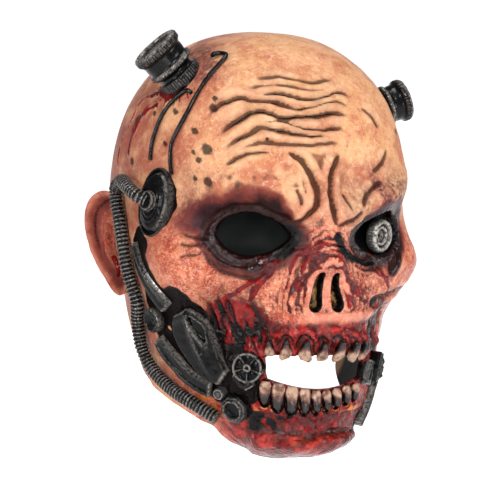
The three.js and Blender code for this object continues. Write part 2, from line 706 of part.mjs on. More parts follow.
function electrodeFrame(place) {
  return seatFrame(-place.turn, levelAt(place.level), 0, new THREE.Vector3(place.leanIn, place.leanBack, place.leanUp))
}

for (const [side, place, mirrored] of [['right', electrodePlace, false], ['left', leftElectrodePlace, true]]) {
  for (const part of ['collar', 'drum']) {
    addPiece(`electrode_${part}_${side}`, 'gunmetal', (grow) => {
      return turnedPiece(electrodeFrame(place), electrodeProfiles(grow, place.size)[part], electrodeSides)
    }, mirrored)
  }
}

// Oval stepped disc at the temple, with the boss that the hose leaves
function discProfile(grow) {
  const tall = discHeight / 2 + grow
  return [[0, -2 * sink - grow], [tall, -2 * sink - grow], [tall, discStep + grow], [tall * 0.8, 2 * discStep + grow],
    [tall * 0.55, 1.6 * discStep + grow], [tall * 0.45, 3 * discStep + grow], [0, 3 * discStep + grow]]
}

function hubProfile(grow) {
  const foot = 3 * discStep + seatGap - grow
  const wide = hubRadius + grow
  const high = 3 * discStep + hubHeight + grow
  return [[0, foot], [wide, foot], [wide, high - wide * 0.4], [wide * 0.7, high], [0, high]]
}

const placed = (place) => seatFrame(-place.turn, levelAt(place.level))
const onRight = (route) => route.map((row) => ({ ...row, turn: -row.turn }))

addPiece('temple_disc_right', 'gunmetal', (grow) => {
  return turnedPiece(placed(discPlace), discProfile(grow), discSides, discWidth / discHeight)
})
addPiece('temple_hub_right', 'gunmetal', (grow) => turnedPiece(placed(discPlace), hubProfile(grow), hubSides))
addPiece('hinge_disc_right', 'gunmetal', (grow) => {
  const [wide, high] = [hingeRadius + grow, hingeHeight + grow]
  const profile = [[0, -2 * sink], [wide, -2 * sink], [wide, high * 0.8], [wide * 0.8, high], [wide * 0.5, high],
    [wide * 0.4, high * 0.7], [0, high * 0.7]]
  return turnedPiece(placed(hingePlace), profile, discSides)
})

// Spoked wheel at the corner of the mouth: a rim, a lower floor between the spokes, and a hub
function wheelGeometry(place, grow) {
  const wide = wheelRadius + grow
  const profile = [[0, -sink - grow], [wide, -sink - grow], [wide, wheelHeight + grow], [wide * 0.82, wheelHeight + grow],
    [wide * 0.72, wheelHeight * 0.7 + grow], [wide * 0.35, wheelHeight * 0.7 + grow], [wide * 0.3, wheelHeight + grow],
    [0, wheelHeight + grow]]
  return turnedPiece(placed(place), profile, 2 * wheelSpokes)
}

addPiece('mouth_wheel_right', 'gunmetal', (grow) => wheelGeometry(wheelPlace, grow))
addPiece('mouth_wheel_left', 'gunmetal', (grow) => wheelGeometry(leftWheelPlace, grow), true)
addPiece('chin_nut_right', 'gunmetal', (grow) => {
  const [wide, high] = [nutRadius + grow, nutHeight + grow]
  const profile = [[0, -2 * sink], [wide, -2 * sink], [wide, high * 0.7], [wide * 0.8, high], [wide * 0.4, high],
    [wide * 0.35, high * 0.6], [0, high * 0.6]]
  return turnedPiece(placed(nutPlace), profile, nutSides)
})
addPiece('arm_bolt_right', 'steel', (grow) => {
  const [wide, high] = [boltRadius + grow, boltHeight + armThickness * 0.4 + grow]
  const profile = [[0, -2 * sink], [wide, -2 * sink], [wide, high * 0.8], [wide * 0.7, high], [0, high]]
  return turnedPiece(placed(boltPlace), profile, boltSides)
})

// Plates, arms and brackets over the cheeks
for (const [name, route, width, thickness, steps, mirrored] of [
  ['cheek_plate_right', plateRoute, plateWidth, plateThickness, plateSteps, false],
  ['wheel_bracket_right', bracketRoute, bracketWidth, bracketThickness, bracketSteps, false],
  ['wheel_bracket_left', leftBracketRoute, bracketWidth, bracketThickness, bracketSteps, true],
  ['jaw_arm_right', armRoute, armWidth, armThickness, armSteps, false],
  ['jaw_arm_left', leftArmRoute, armWidth, armThickness, armSteps, true],
]) {
  addPiece(name, 'gunmetal', (grow) => routedPlate(onRight(route), width, thickness, grow, steps), mirrored)
}
addPiece('hose_right', 'gunmetal', (grow) => routedTube(onRight(hoseRoute), hoseRadius, grow, hoseSides, hoseSteps))
addPiece('strap_right', 'gunmetal', (grow) => {
  return routedPlate(onRight(strapRoute), strapWidth, bracketThickness, grow, strapSteps)
})

// Lens at the left eye: a stepped ring over the outer half of the opening, and its core down to the screen
const lensFrame = new THREE.Matrix4()
  .makeRotationZ(lensTurn * degree)
  .multiply(new THREE.Matrix4().makeRotationX(Math.PI / 2))
  .setPosition(headPoint(lensPlace.turn, levelAt(lensPlace.level)))
const lensProfile = [[lensCoreRadius + seatGap, lensFoot], [lensRadius, lensFoot], [lensRadius, lensFoot + lensHeight * 0.5],
  [lensRadius * 0.8, lensFoot + lensHeight * 0.6], [lensRadius * 0.72, lensFoot + lensHeight],
  [lensRadius * 0.52, lensFoot + lensHeight], [lensCoreRadius + seatGap, lensFoot + lensHeight * 0.7],
  [lensCoreRadius + seatGap, lensFoot]]
const coreProfile = [[0, -8 * wall], [lensCoreRadius, -8 * wall], [lensCoreRadius, lensFoot + lensHeight * 0.7],
  [lensCoreRadius * 0.6, lensFoot + lensHeight * 0.9], [0, lensFoot + lensHeight * 0.9]]
const lensRing = solidFrom(turnedPiece(lensFrame, lensProfile, lensSides)).subtract(clearForm)
const lensCore = solidFrom(turnedPiece(lensFrame, coreProfile, lensCoreSides)).subtract(innerForm)
addNode('lens_ring_left', lensRing, 'steel')
addNode('lens_core_left', lensCore, 'steel')

addPiece('wire_front_right', 'gunmetal', (grow) => {
  return routedTube(onRight(frontWireRoute), wireRadius, grow, wireSides, frontWireSteps)
})
addPiece('wire_rear_right', 'gunmetal', (grow) => {
  return routedTube(onRight(rearWireRoute), wireRadius, grow, wireSides, rearWireSteps)
})

export default model
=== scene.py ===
"""Looks of the zombie mask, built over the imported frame.

Shapes are worked out in millimetres, as places on the head: turn, in degrees round from the middle of the
face towards the left ear, and level, in millimetres above the widest level or below it. make() turns
them into metres. Everything random comes from seeded noise.
"""
import math
import bpy
import numpy as np
from mathutils import Matrix, Vector


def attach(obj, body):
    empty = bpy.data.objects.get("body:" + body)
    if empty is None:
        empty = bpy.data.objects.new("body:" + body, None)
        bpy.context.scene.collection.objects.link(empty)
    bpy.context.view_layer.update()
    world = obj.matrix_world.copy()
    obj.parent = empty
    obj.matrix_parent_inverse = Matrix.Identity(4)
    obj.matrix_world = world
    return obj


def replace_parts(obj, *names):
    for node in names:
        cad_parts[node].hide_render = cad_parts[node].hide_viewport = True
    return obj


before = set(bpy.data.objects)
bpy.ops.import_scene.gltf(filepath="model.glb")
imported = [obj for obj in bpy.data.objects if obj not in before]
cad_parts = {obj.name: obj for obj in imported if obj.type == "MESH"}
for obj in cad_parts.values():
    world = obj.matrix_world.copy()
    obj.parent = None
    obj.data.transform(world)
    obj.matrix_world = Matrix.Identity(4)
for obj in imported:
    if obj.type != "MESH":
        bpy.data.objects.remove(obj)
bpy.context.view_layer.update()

# Head form in millimetres and shares, the same as the part's source
WALL, EQUATOR, ARC, SIDE, CHIN, ROUND, UNDER = 3.0, -100.0, 150.0, 128.0, 143.0, 19.0, 60.0
FRONT, WIDE, BACK, DEPTH, FULL, UNDER_FULL = 91.0, 86.0, 96.0, 10.0, 2.3, 2.5
TRIM_REACH, HEIGHT, SLANT = 64.0, 243.0, .12
SECTIONS = np.array([
    # drop, front, side, back, squareness
    [0, 1, 1, 1, 2.25], [.21, 1, .965, .958, 2.3], [.42, 1.011, .884, .854, 2.2],
    [.63, 1.022, .802, .771, 2.15],
    [.8, 1.011, .698, .6875, 2.15], [.94, .967, .558, .604, 2.2], [1.05, .857, .395, .479, 2.2]])
FORMS = [
    # turn, level share, wide, tall share, slant, lift share
    (27, .085, 15, .05, .0034, .7), (0, .06, 8, .07, 0, .5), (27, -.068, 13, .075, 0, -1.15),
    (0, -.1, 7, .085, 0, 1), (0, -.17, 6, .035, 0, .5), (0, -.43, 20, .12, 0, .4),
    (56, -.22, 15, .095, 0, 1.05),
    (36, -.45, 12, .1, 0, -.6), (62, .1, 12, .1, 0, -.3), (0, -.93, 17, .05, 0, .35),
    (0, -.5, 22, .035, 0, .35),
    (0, -.79, 20, .035, 0, .25)]
TRIM = np.array([
    # back, up
    [1.06, .4], [1, -.07], [.95, -.28], [.9, -.46], [.72, -.62], [.38, -.71], [.22, -.79], [.16, -.84],
    [-.05, -.877], [-.38, -.902], [-.72, -.925], [-.9, -.96], [-.92, -1.2]])
EYE_TURN, EYE_LEVEL, EYE_WIDE, EYE_TALL = 28, -9.4, 42, 27
MOUTH_Z, MOUTH_WIDE, MOUTH_TALL, MOUTH_BACK = -186.5, 66, 15, -50
FAR = 40.  # distances to an opening are measured up to here
# The lining's bulge behind the nose: depth, width in degrees, level, height
NOSE_ROOM, NOSE_ROOM_WIDE, NOSE_ROOM_LEVEL, NOSE_ROOM_TALL = 7.5, 8, -41.5, 15
SEATED = 2.4  # how far a piece may reach into the shell's wall

# The photo's view: degrees, then millimetres
VIEW_TURN, VIEW_RISE, VIEW_ROLL = 26.5, 6.8, 2.8
VIEW_MIDDLE, VIEW_RIGHT, VIEW_DOWN, VIEW_AWAY, VIEW_LENS = -128, 3.05, 1.22, 1400, 165.3
BEHIND = (.446, .895, 0)
LENS_TURN = 26.5


def unit(v):
    return v / (np.linalg.norm(v, axis=-1, keepdims=True) + 1e-12)


def smooth(a, b, x):
    t = np.clip((x - a) / (b - a), 0, 1)
    return t * t * (3 - 2 * t)


def bump(x, width):
    return np.exp(-.5 * (x / width) ** 2)


def spline(points, each=8):
    """Smooth curve through a row of points, with that many steps between two of them."""
    p = np.asarray(points, float)
    p = np.vstack([2 * p[0] - p[1], p, 2 * p[-1] - p[-2]])
    rows = []
    for i in range(1, len(p) - 2):
        for t in np.arange(each) / each:
            a, b, c, d = p[i - 1:i + 3]
            rows.append(.5 * (2 * b + (c - a) * t + (2 * a - 5 * b + 4 * c - d) * t * t
                              + (3 * b - a - 3 * c + d) * t ** 3))
    rows.append(p[-2])
    return np.array(rows)


# Seeded noise
LATTICE = [np.random.default_rng(40 + k).uniform(-1, 1, (32, 32, 32)) for k in range(6)]


def noise(p, size, seed=0):
    q = np.asarray(p, float) / size + 11.3
    i = np.floor(q).astype(int)
    f = q - i
    f = f * f * (3 - 2 * f)
    out = 0
    for x in (0, 1):
        for y in (0, 1):
            for z in (0, 1):
                w = ((f[..., 0] if x else 1 - f[..., 0]) * (f[..., 1] if y else 1 - f[..., 1])
                     * (f[..., 2] if z else 1 - f[..., 2]))
                cell = (i[..., 0] + x) % 32, (i[..., 1] + y) % 32, (i[..., 2] + z) % 32
                out = out + w * LATTICE[seed][cell]
    return out


def fractal(p, size, seed=0, octaves=3):
    return sum(noise(p, size / 2 ** k, (seed + k) % 6) / 2 ** k for k in range(octaves))


# The head
def column(share, k):
    x, y = SECTIONS[:, 0], SECTIONS[:, k]
    share = np.clip(share, x[0], x[-1])
    i = np.clip(np.searchsorted(x, share, side="right") - 1, 0, len(x) - 2)
    m = np.zeros(len(x))
    m[1:-1] = (y[2:] - y[:-2]) / (x[2:] - x[:-2])
    m[-1] = (y[-1] - y[-2]) / (x[-1] - x[-2])
    w = x[i + 1] - x[i]
    t = (share - x[i]) / w
    return ((2 * t ** 3 - 3 * t ** 2 + 1) * y[i] + (t ** 3 - 2 * t ** 2 + t) * w * m[i]
            + (3 * t ** 2 - 2 * t ** 3) * y[i + 1] + (t ** 3 - t ** 2) * w * m[i + 1])


def level_of(share):
    return share * np.where(np.asarray(share) > 0, ARC, CHIN)


def head(turn, level):
    turn, level = np.broadcast_arrays(np.asarray(turn, float), np.asarray(level, float))
    a = np.radians(turn)
    u = np.clip((-level - SIDE) / UNDER, 0, 1) * np.pi / 2
    sunk, kept = np.sin(u) ** (2 / UNDER_FULL), np.cos(u) ** (2 / UNDER_FULL)
    drop = np.clip(-level, 0, SIDE) + ROUND * sunk
    share = drop / CHIN
    ahead = np.where(np.cos(a) > 0, column(share, 1) * FRONT, column(share, 3) * BACK)
    aside, power = column(share, 2) * WIDE, column(share, 4)
    ring = (np.abs(np.cos(a) / ahead) ** power + np.abs(np.sin(a) / aside) ** power) ** (-1 / power)
    rise = np.clip(level / ARC, 0, 1) * np.pi / 2
    reach = (np.abs(np.cos(rise) / ring) ** FULL + (np.sin(rise) / (WALL - EQUATOR)) ** FULL) ** (-1 / FULL)
    for t, l, wide, tall, slant, lift in FORMS:
        off = np.abs(turn) - t
        tall = tall * (ARC if l > 0 else CHIN)
        reach = reach + lift * DEPTH * np.exp(-.5 * (off / wide) ** 2
                                              - .5 * ((level - level_of(l + slant * off)) / tall) ** 2)
    r = reach * np.cos(rise) * kept
    return np.stack([r * np.sin(a), -r * np.cos(a), reach * np.sin(rise) + EQUATOR - drop], -1)


def head_normal(turn, level):
    e = .4
    n = np.cross(head(turn + e, level) - head(turn - e, level), head(turn, level + e) - head(turn, level - e))
    return unit(n)


def seat(turn, level, lean=(0, 0, 0)):
    """Origin and axes of a frame on the head: towards the left ear, up, and outwards."""
    out = unit(head_normal(turn, level) + np.array(lean))
    up = unit(np.array([0, 0, 1.]) - out * out[2])
    return head(turn, level), np.cross(up, out), up, out


def place(frame4, p):
    o, x, y, z = frame4
    return o + p[..., :1] * x + p[..., 1:2] * y + p[..., 2:] * z


trim_curve = spline(TRIM, 4) * [TRIM_REACH, HEIGHT]


def behind_trim(p):
    """How far points lie behind the edge of the shell."""
    return p[..., 1] + SLANT * p[..., 0] - np.interp(p[..., 2], trim_curve[::-1, 1], trim_curve[::-1, 0])


# Openings, as signed distances in millimetres, positive outside
def bezier(*points, steps=14):
    t = np.linspace(0, 1, steps, endpoint=False)[:, None]
    p = [np.array(q, float) for q in points]
    if len(p) == 3:
        return (1 - t) ** 2 * p[0] + 2 * t * (1 - t) * p[1] + t * t * p[2]
    return (1 - t) ** 3 * p[0] + 3 * t * (1 - t) ** 2 * p[1] + 3 * t * t * (1 - t) * p[2] + t ** 3 * p[3]


def eye_outline():
    h, t = EYE_WIDE / 2, EYE_TALL / 2
    return np.vstack([
        bezier((-h, -t * .1), (-h * .6, t * .8), (h * .1, t * 1.25), (h * .65, t * .62)),
        bezier((h * .65, t * .62), (h * .95, t * .35), (h, -t * .1)),
        bezier((h, -t * .1), (h * .7, -t * 1.05), (-h * .3, -t * 1.35), (-h, -t * .1))])


def mouth_outline():
    h, t = MOUTH_WIDE / 2, MOUTH_TALL
    return np.vstack([
        bezier((-h, t * .5), (0, t * .62), (h, t * .42)), [[h, t * .42]],
        bezier((h * .92, -t * .5), (0, -t * 1.15), (-h * .95, -t * .42)), [[-h * .95, -t * .42]]])


def outline_distance(q, outline):
    out = np.full(q.shape[:-1], FAR)
    near = (np.abs(q[..., 0]) < FAR) & (np.abs(q[..., 1]) < FAR)
    p = q[near]
    best, inside = np.full(len(p), FAR), np.zeros(len(p), bool)
    for a, b in zip(outline, np.roll(outline, -1, 0)):
        w = b - a
        if np.hypot(*w) < 1e-9:
            continue
        t = np.clip(((p - a) @ w) / (w @ w), 0, 1)
        best = np.minimum(best, np.hypot(*(p - a - t[:, None] * w).T))
        if a[1] != b[1]:
            inside ^= (((a[1] > p[:, 1]) != (b[1] > p[:, 1]))
                       & (p[:, 0] < w[0] * (p[:, 1] - a[1]) / w[1] + a[0]))
    out[near] = np.where(inside, -best, best)
    return out


EYE, MOUTH = eye_outline(), mouth_outline()


def eye_distance(turn, level, side):
    o, x, y, z = seat(side * EYE_TURN, EYE_LEVEL)
    d = head(turn, level) - o
    q = np.stack([side * (d @ x), d @ y], -1)
    return np.where(np.abs(d @ z) > FAR, FAR, outline_distance(q, EYE))


def mouth_distance(turn, level):
    p = head(turn, level)
    q = np.stack([p[..., 0], p[..., 2] - MOUTH_Z], -1)
    return np.where(p[..., 1] > MOUTH_BACK, FAR, outline_distance(q, MOUTH))


CUTS = [lambda t, l: eye_distance(t, l, -1), lambda t, l: eye_distance(t, l, 1), mouth_distance]


# Folds and marks on the face, each along a smooth line of places
def flat(turn, level):
    across = np.cos(np.clip(np.asarray(level) / ARC, 0, 1) * np.pi / 2)
    return np.stack([turn * FRONT * np.pi / 180 * across, level * np.ones_like(turn)], -1)


def along(q, points):
    """Distance in millimetres from each point of q to the line, and the share of its length there."""
    pts = np.array(points, float)
    pts = flat(*(spline(pts, 5) if len(pts) > 2 else pts).T)
    lengths = np.hypot(*np.diff(pts, axis=0).T)
    best, share, done = np.full(q.shape[:-1], 1e3), np.zeros(q.shape[:-1]), 0
    for a, b, length in zip(pts, pts[1:], lengths):
        w = b - a
        t = np.clip(((q - a) @ w) / (w @ w), 0, 1)
        d = np.linalg.norm(q - a - t[..., None] * w, axis=-1)
        hit = d < best
        best = np.where(hit, d, best)
        share = np.where(hit, (done + t * length) / lengths.sum(), share)
        done += length
    return best, share


FOLDS = [
    # places (turn, level), depth, width, side rolls, ink and painted shade
    ([(-32, 81), (-19, 84.6), (-4, 82), (14, 83.8)], .7, 1.2, .35, .5),
    ([(-35, 75.6), (-21, 78.2), (-3.6, 76.8), (17, 78.2)], .6, 1.1, .3, .35),
    ([(-30, 69.6), (-21, 72.8), (-8.6, 70.8), (1.4, 71.8), (10.4, 74.4), (19, 71.6)], 1.0, 1.1, .5, .9),
    ([(-50, 56), (-43.6, 65), (-36.6, 70), (-29.4, 66.4), (-21, 67), (-11.6, 63.8), (-3, 66.8), (7.6, 68.8),
      (16, 66.2)],
     1.0, 1.2, .5, .8),
    ([(-43.6, 46), (-35, 57), (-26.4, 60.8), (-17, 58.2), (-8.2, 60.6), (3.6, 62.2), (14.4, 60.8)], 1.2, 1.3,
     .6, 1),
    ([(-31, 53.6), (-19, 56.2), (-12, 53.8), (-2.2, 53.2), (10, 52)], .9, 1.0, .45, .8),
    ([(-40, 37), (-34.2, 45.2), (-26, 51.6), (-17, 50.6), (-6.8, 49), (5, 49.8)], 1.0, 1.1, .5, .9),
    ([(-37, 36.5), (-33.8, 40), (-25.8, 43.8), (-17, 44), (-7.2, 43.6), (7, 45.2)], .8, 1.0, .4, .55),
    ([(-39, 29), (-33.6, 35.4), (-28.2, 38.2), (-22, 38.6)], .8, 1.0, .4, .6),
    ([(20, 66), (26, 60), (29, 52)], .6, 1.2, .3, .3),
    ([(-17, 42), (-14, 37), (-11.4, 34.8), (-8.4, 29.2), (-6.4, 22.2), (-5.6, 15.6), (-6.4, 9), (-8, 5.6),
      (-10.8, .8), (-14, -3.2)], 2.2, 1.2, 1.1, .5),
    ([(6, 40), (3.8, 35.4), (.8, 29.4), (-.8, 21.6), (-1.6, 14), (-.4, 5.8), (.6, -3.6)], 2.2, 1.2, 1.1, .6),
    ([(.6, -3.6), (2.2, -2.4), (5, -1), (8.4, 1), (13.8, 5.8)], 1.8, 1.2, .9, .8),
    ([(-13.2, 18.4), (-12.4, 12.8), (-11.8, 8.4)], 1.1, 1.0, .4, .5),
    ([(-10.8, 27), (-9.6, 20), (-9.2, 14)], .7, .9, .3, .3),
    ([(3.6, 15.6), (4.6, 11.6), (6.2, 7.4), (8.6, 2.8)], 1.0, .9, .4, .5),
    ([(13.2, 6.2), (13.6, 10.8), (17, 16.2), (23.8, 22.2)], 1.6, 1.2, .6, .7),
    ([(20, 28), (27, 33), (31, 41)], .9, 1.4, .4, .35),
    # near eye: lid, bags
    ([(-45.4, -13.6), (-44.6, -5.2), (-39, 3.4), (-30.4, 8.4), (-23.8, 7.2), (-18.4, 1.6), (-15.6, -1.8)],
     1.5, .9, .5, 1),
    ([(-45.2, -14.4), (-41.4, -21.6), (-36.2, -26.6), (-30, -27.8), (-25, -25.6), (-21, -20.6)], 1.0, .7, .4,
     .8),
    ([(-45.6, -16.4), (-43.2, -23.8), (-39.6, -29.2), (-34.2, -33.2), (-27.4, -34.4), (-22.4, -30.6),
      (-19.2, -23)], 1.3, .9, .6, .8),
    ([(-46, -14), (-50, -13), (-53, -11)], .9, .7, .3, .7),
    ([(-46, -17), (-50, -18), (-54, -17)], .8, .7, .3, .6),
    ([(-45, -21), (-49, -23), (-53, -24)], .7, .7, .3, .5),
    # far eye: bags and the groove beside it
    ([(.8, -11.8), (4, -19.8), (11.2, -26.8), (18.8, -30.2), (26.8, -28.4)], 1.3, .8, .7, 1),
    ([(2, -14), (8, -21), (15, -26), (23, -26.5)], .8, .6, .5, .7),
    ([(2, -20.4), (11.2, -30.4), (18.6, -33.2), (23.4, -33.2)], .8, .8, .3, .5),
    ([(38, 2), (39.5, -4), (39, -9.2), (38.6, -16.2), (35, -26), (32.2, -33)], 2.0, 1.7, .5, .7),
    # cheeks and chin
    ([(52.4, -44), (44, -45.5), (36.2, -46.2), (29, -48), (25, -51)], 1.6, 1.5, .7, .8),
    ([(-22, -126), (-15.8, -126.8), (-10, -128), (0, -126.2), (10, -125), (26.4, -127.6)], 1.2, 1.1, .5, .7),
]
SPOTS = [
    # turn, level, radius
    (-53.6, 48.8, 3), (-46.6, 38.6, 4.2), (-49.8, 32.4, 2.6), (-52.2, 36.2, 2), (-47, 61.8, 3.4),
    (-47.4, 67.4, 2.6),
    (-66.4, 59.2, 2.8), (-67.6, 40.2, 2.6), (-80.6, 57.6, 2.4), (-93.6, 31.2, 2.6), (-89.4, 27.4, 3),
    (-44.8, 18.6, 3.8), (-50.4, 20, 2.4), (-24, 46, 1.5), (46, 50, 3), (54, 36, 3.4), (63, 58, 2.6),
    (51, 22, 3),
    (74, 44, 3)]
DRIPS = [
    # raised lines of blood: places, half width
    ([(-19.5, -25), (-24, -33), (-29, -38), (-35, -45), (-39, -50)], 1.1),
    ([(-17, -22), (-21, -31), (-25, -39), (-27, -46)], 1.6),
    ([(24, -29), (29, -36), (32, -41), (31, -49)], 1.1), ([(20, -27), (25, -33), (31, -35)], .9),
    ([(-3, -13), (-7, -19), (-9, -28), (-10.5, -40)], 1.2), ([(3, -24), (8, -34), (13, -43), (17, -50)], 1.2),
    ([(-1, -11), (-6, -14), (-11, -21), (-14, -32)], .9),
    ([(-88, 62), (-93, 52), (-94, 42), (-93, 31)], 1.5), ([(-84, 70), (-97, 66), (-101, 60)], .8),
    ([(-100, 58), (-104, 40), (-105, 22)], .7), ([(-80, 64), (-86, 60), (-90, 55)], .9)]
UPPER = [
    # turn, width, length, level
    (-19.5, 6.4, 9.6, -73.6), (-14.3, 8, 12.4, -73.6), (-7.8, 9.3, 13.4, -73.9), (-1.8, 8, 12.4, -74.4),
    (4.6, 9.3, 13.4, -74.4), (11.2, 8.8, 13, -75.8), (17.2, 7.4, 11.6, -76.5)]
LOWER = [
    (-20.2, 7, 13.5, -100.5), (-15.6, 7.5, 15.6, -102.4), (-10.8, 7.4, 15.3, -104), (-6.2, 6.5, 14, -104.7),
    (-2, 6, 12.6, -105.2), (2, 5.5, 11.7, -104.7), (6.2, 5.7, 10.8, -103.5), (10.8, 6, 10.3, -102.2),
    (15.4, 5.7, 9.8, -101.2)]


def well(q, top, bottom, small, large):
    """Signed distance to a drop-shaped hollow, negative inside."""
    d, share = along(q, [top, bottom])
    return d - (small + (large - small) * share)


MASKS = ("ink_and_shadow", "blood", "shade", "brown", "purple", "spots", "pale", "soot", "amber", "red", "orange",
         "yellow",
         "pink", "wet", "gold", "light", "crease_shade")


def inside_of(d, half, soft=3.):
    """Mask of a line or patch: a half at its edge, so that the paint can break the edge up finely."""
    return np.clip(.5 + (half - d) / soft, 0, 1)


def sculpt(turn, level):
    """Lift of the face over the bare head in millimetres, and the masks that its paint follows."""
    p = head(turn, level)
    side = np.abs(turn)
    sway = (1.1 * np.stack([noise(p, 11, 1), noise(p, 11, 2)], -1)
            + .45 * np.stack([noise(p, 4, 3), noise(p, 4, 4)], -1))
    q = flat(turn, level) + sway
    near, far = eye_distance(turn, level, -1), eye_distance(turn, level, 1)
    mouth = mouth_distance(turn, level)
    front = smooth(110, 80, side)
    lift = .3 * fractal(p, 26, 0, 2) + .22 * fractal(p, 7, 2) * front
    mask = {k: np.zeros_like(lift) for k in MASKS}

    def more(name, value):
        mask[name] = np.maximum(mask[name], value)

    for places, depth, width, roll, ink_and_shadow in FOLDS:
        d, share = along(q, places)
        ends = smooth(0, .18, share) * smooth(1, .82, share)
        strength = ends * (1 + .35 * noise(p, 7, 5))
        brow = 1.35 if places[0][1] > 25 else 1
        lift -= depth * brow * 1.3 * bump(d, width * .95) * strength
        lift += roll * brow * 1.6 * bump(d - 2.8 * width, 1.6 * width) * strength
        thin = smooth(-.7, .3, noise(p, 9, 1) + ink_and_shadow - .5) * ends
        more("ink_and_shadow", (.3 + .36 * ink_and_shadow) * thin * bump(d, .58))
        more("shade", (.18 + .26 * ink_and_shadow) * bump(d, width * 2.1) * ends * (.85 + .5 * noise(p, 8, 3)))
        # painted highlight along the raised rolls beside each fold
        if places[0][1] > -10:
            more("light", (.3 + .3 * ink_and_shadow) * bump(d - 3.2 * width, 1.3 * width) * ends
                 * (.7 + .7 * noise(p, 6, 4)))

    # lids: a rolled edge, then deep skin around it
    for d in (near, far):
        lift += 1.6 * bump(d - 2.6, 1.5) - .9 * smooth(1.1, 0, d)
    above = smooth(-4, 6, level)
    lift += 2.4 * bump(near - 11, 4) * above + 1.4 * bump(far - 10, 4) * above
    under = smooth(-12, -20, level)
    lift += (.9 * bump(near - 7.4, 1.3) * under
             + .45 * np.sin(near * 2.2 + noise(p, 5, 2) * 2) * bump(near - 9, 5) * under)

    # brows: knotted skin over each eye
    knot = bump((turn + 27) / 16, 1) * bump((level - 19) / 9, 1)
    lift += knot * 1.2 * fractal(p, 8, 3)
    lift += 2.0 * bump((turn + 11) / 3.4, 1) * bump((level - 12) / 9, 1)
    lift += 2.0 * bump((turn - 4.5) / 3.2, 1) * bump((level - 9) / 9, 1)
    lift += 1.6 * bump((turn - 20) / 7, 1) * bump((level - 13) / 6, 1)

    # nose: two wells, the wall between them, and torn fibres in rings round them
    right = well(q - .6 * sway, (-3.1, -31), (-4.3, -49), 1.1, 3.3)
    left = well(q - .6 * sway, (2.5, -31.5), (4.4, -49), 1.1, 3.1)
    hole = np.minimum(right, left)
    lift += .8 * bump(hole - 1.4, .7)
    more("ink_and_shadow", .9 * bump(hole, .9))
    arch, _ = along(q, [(-7.4, -52), (-6.6, -42), (-5.2, -31), (-3.2, -24.5), (-.6, -21.6), (2.2, -24.5),
                        (5.6, -32),
                        (9, -42), (10, -51)])
    lift += 1.2 * bump(arch, 1.1)
    rings = smooth(1, 3, arch) * smooth(26, 9, arch) * smooth(-58, -50, level) * smooth(4, -8, level)
    rings = rings * smooth(3, 7, near) * smooth(2, 6, far) * smooth(2.5, 5, hole)
    wave = np.cos((arch + 3.2 * noise(p, 10, 4) + 1.0 * noise(p, 3, 5)) * 2 * np.pi / 3.4)
    lift += .9 * wave * rings
    more("blood", np.clip(rings * (.3 - .3 * wave + .6 * noise(p, 9, 1)), 0, .66))
    more("pale", .75 * bump(arch, 1.1) + .7 * bump(turn + .2, 1.3) * bump((level + 42) / 11, 1))
    more("blood", inside_of(np.abs(arch - 2.6), .7, 2.4) * smooth(1.5, 4, hole) * smooth(-54, -48, level))

    # shelf under the nose and the fold beside it on the far cheek
    shelf = smooth(-52.5, -55, level) * smooth(-61, -57, level) * smooth(-11, -6, turn) * smooth(32, 24, turn)
    lift += 1.5 * shelf * (1 + .4 * noise(p, 6, 3))
    more("pale", .9 * shelf * (.7 + .4 * noise(p, 5, 1)))
    pit = bump((turn - 26) / 2.6, 1) * bump((level + 50) / 2.4, 1)
    lift -= 3 * pit
    # painted shade: the dent is blackened as the shade inside it
    more("ink_and_shadow", pit)

    # raw jaw: wet lumps and threads from the nose to the gums
    raw = smooth(-56, -64, level + 3 * noise(p, 8, 2)) * smooth(46, 38, side) * smooth(-84, -74, level)
    lift += raw * (.8 * fractal(p, 5, 4) - .2)
    grain = np.stack([p[..., 0] * .8 + p[..., 2] * .33, p[..., 1] * .5, p[..., 2] * .12 - p[..., 0] * .06],
                     -1)
    fibre = fractal(grain, 3.6, 1, 3)
    lift += .6 * raw * fibre

    # torn cheek beside the mouth: strands that run down to its corner
    for t, l, wide, tall, deep in ((-33, -66, 9, 12, 2.6), (33, -66, 6, 11, 1.6)):
        shred = np.clip(1.6 * bump((turn - t) / wide, 1.1) * bump((level - l) / tall, 1.1), 0, 1)
        lift += shred * deep * (1.3 * fibre - .35)
        more("ink_and_shadow", shred * np.clip(.32 - fibre * 1.3, 0, .66))
        more("blood", .9 * shred)
    more("shade", .9 * np.clip(bump((turn + 38) / 8, 1) * bump((level + 60) / 13, 1) * 1.3, 0, 1))

    # gums: each tooth sits in a dished seat, with a ridge on either side of it
    for rows, sign in ((UPPER, 1), (LOWER, -1)):
        band = bump((level - (-71 if sign > 0 else -112)) / 6, 1)
        ridge = np.zeros_like(lift)
        for t, wide, long, l in rows:
            across = flat(turn - t, level)[..., 0]
            high = (level - l) * sign
            ring = np.hypot(across / (wide * .56), (high - long * .05) / (long * .58))
            lift -= 1.7 * smooth(1.15, .8, ring)
            rooted = smooth(-long * .55, long * .1, high)
            ridge = np.maximum(ridge, bump(ring - 1.36, .17) * rooted)
            # painted shadow: near-black arcs round each tooth where it goes into the gum
            more("ink_and_shadow", (.62 if sign > 0 else .9) * bump(ring - .98, .11)
                 * smooth(-long * .5, long * .15, high))
        lift += 1.3 * ridge * smooth(0, 1.5, mouth)
        more("blood", .8 * band * ridge)
        lift += .5 * band * fibre
        if sign < 0:
            mask["amber"] = np.clip(band * bump((level + 112) / 3.4, 1)
                                    * smooth(-.2, .5, noise(p, 4, 3)) * 1.3, 0, 1)
    more("blood", .75 * smooth(4, 0, mouth))

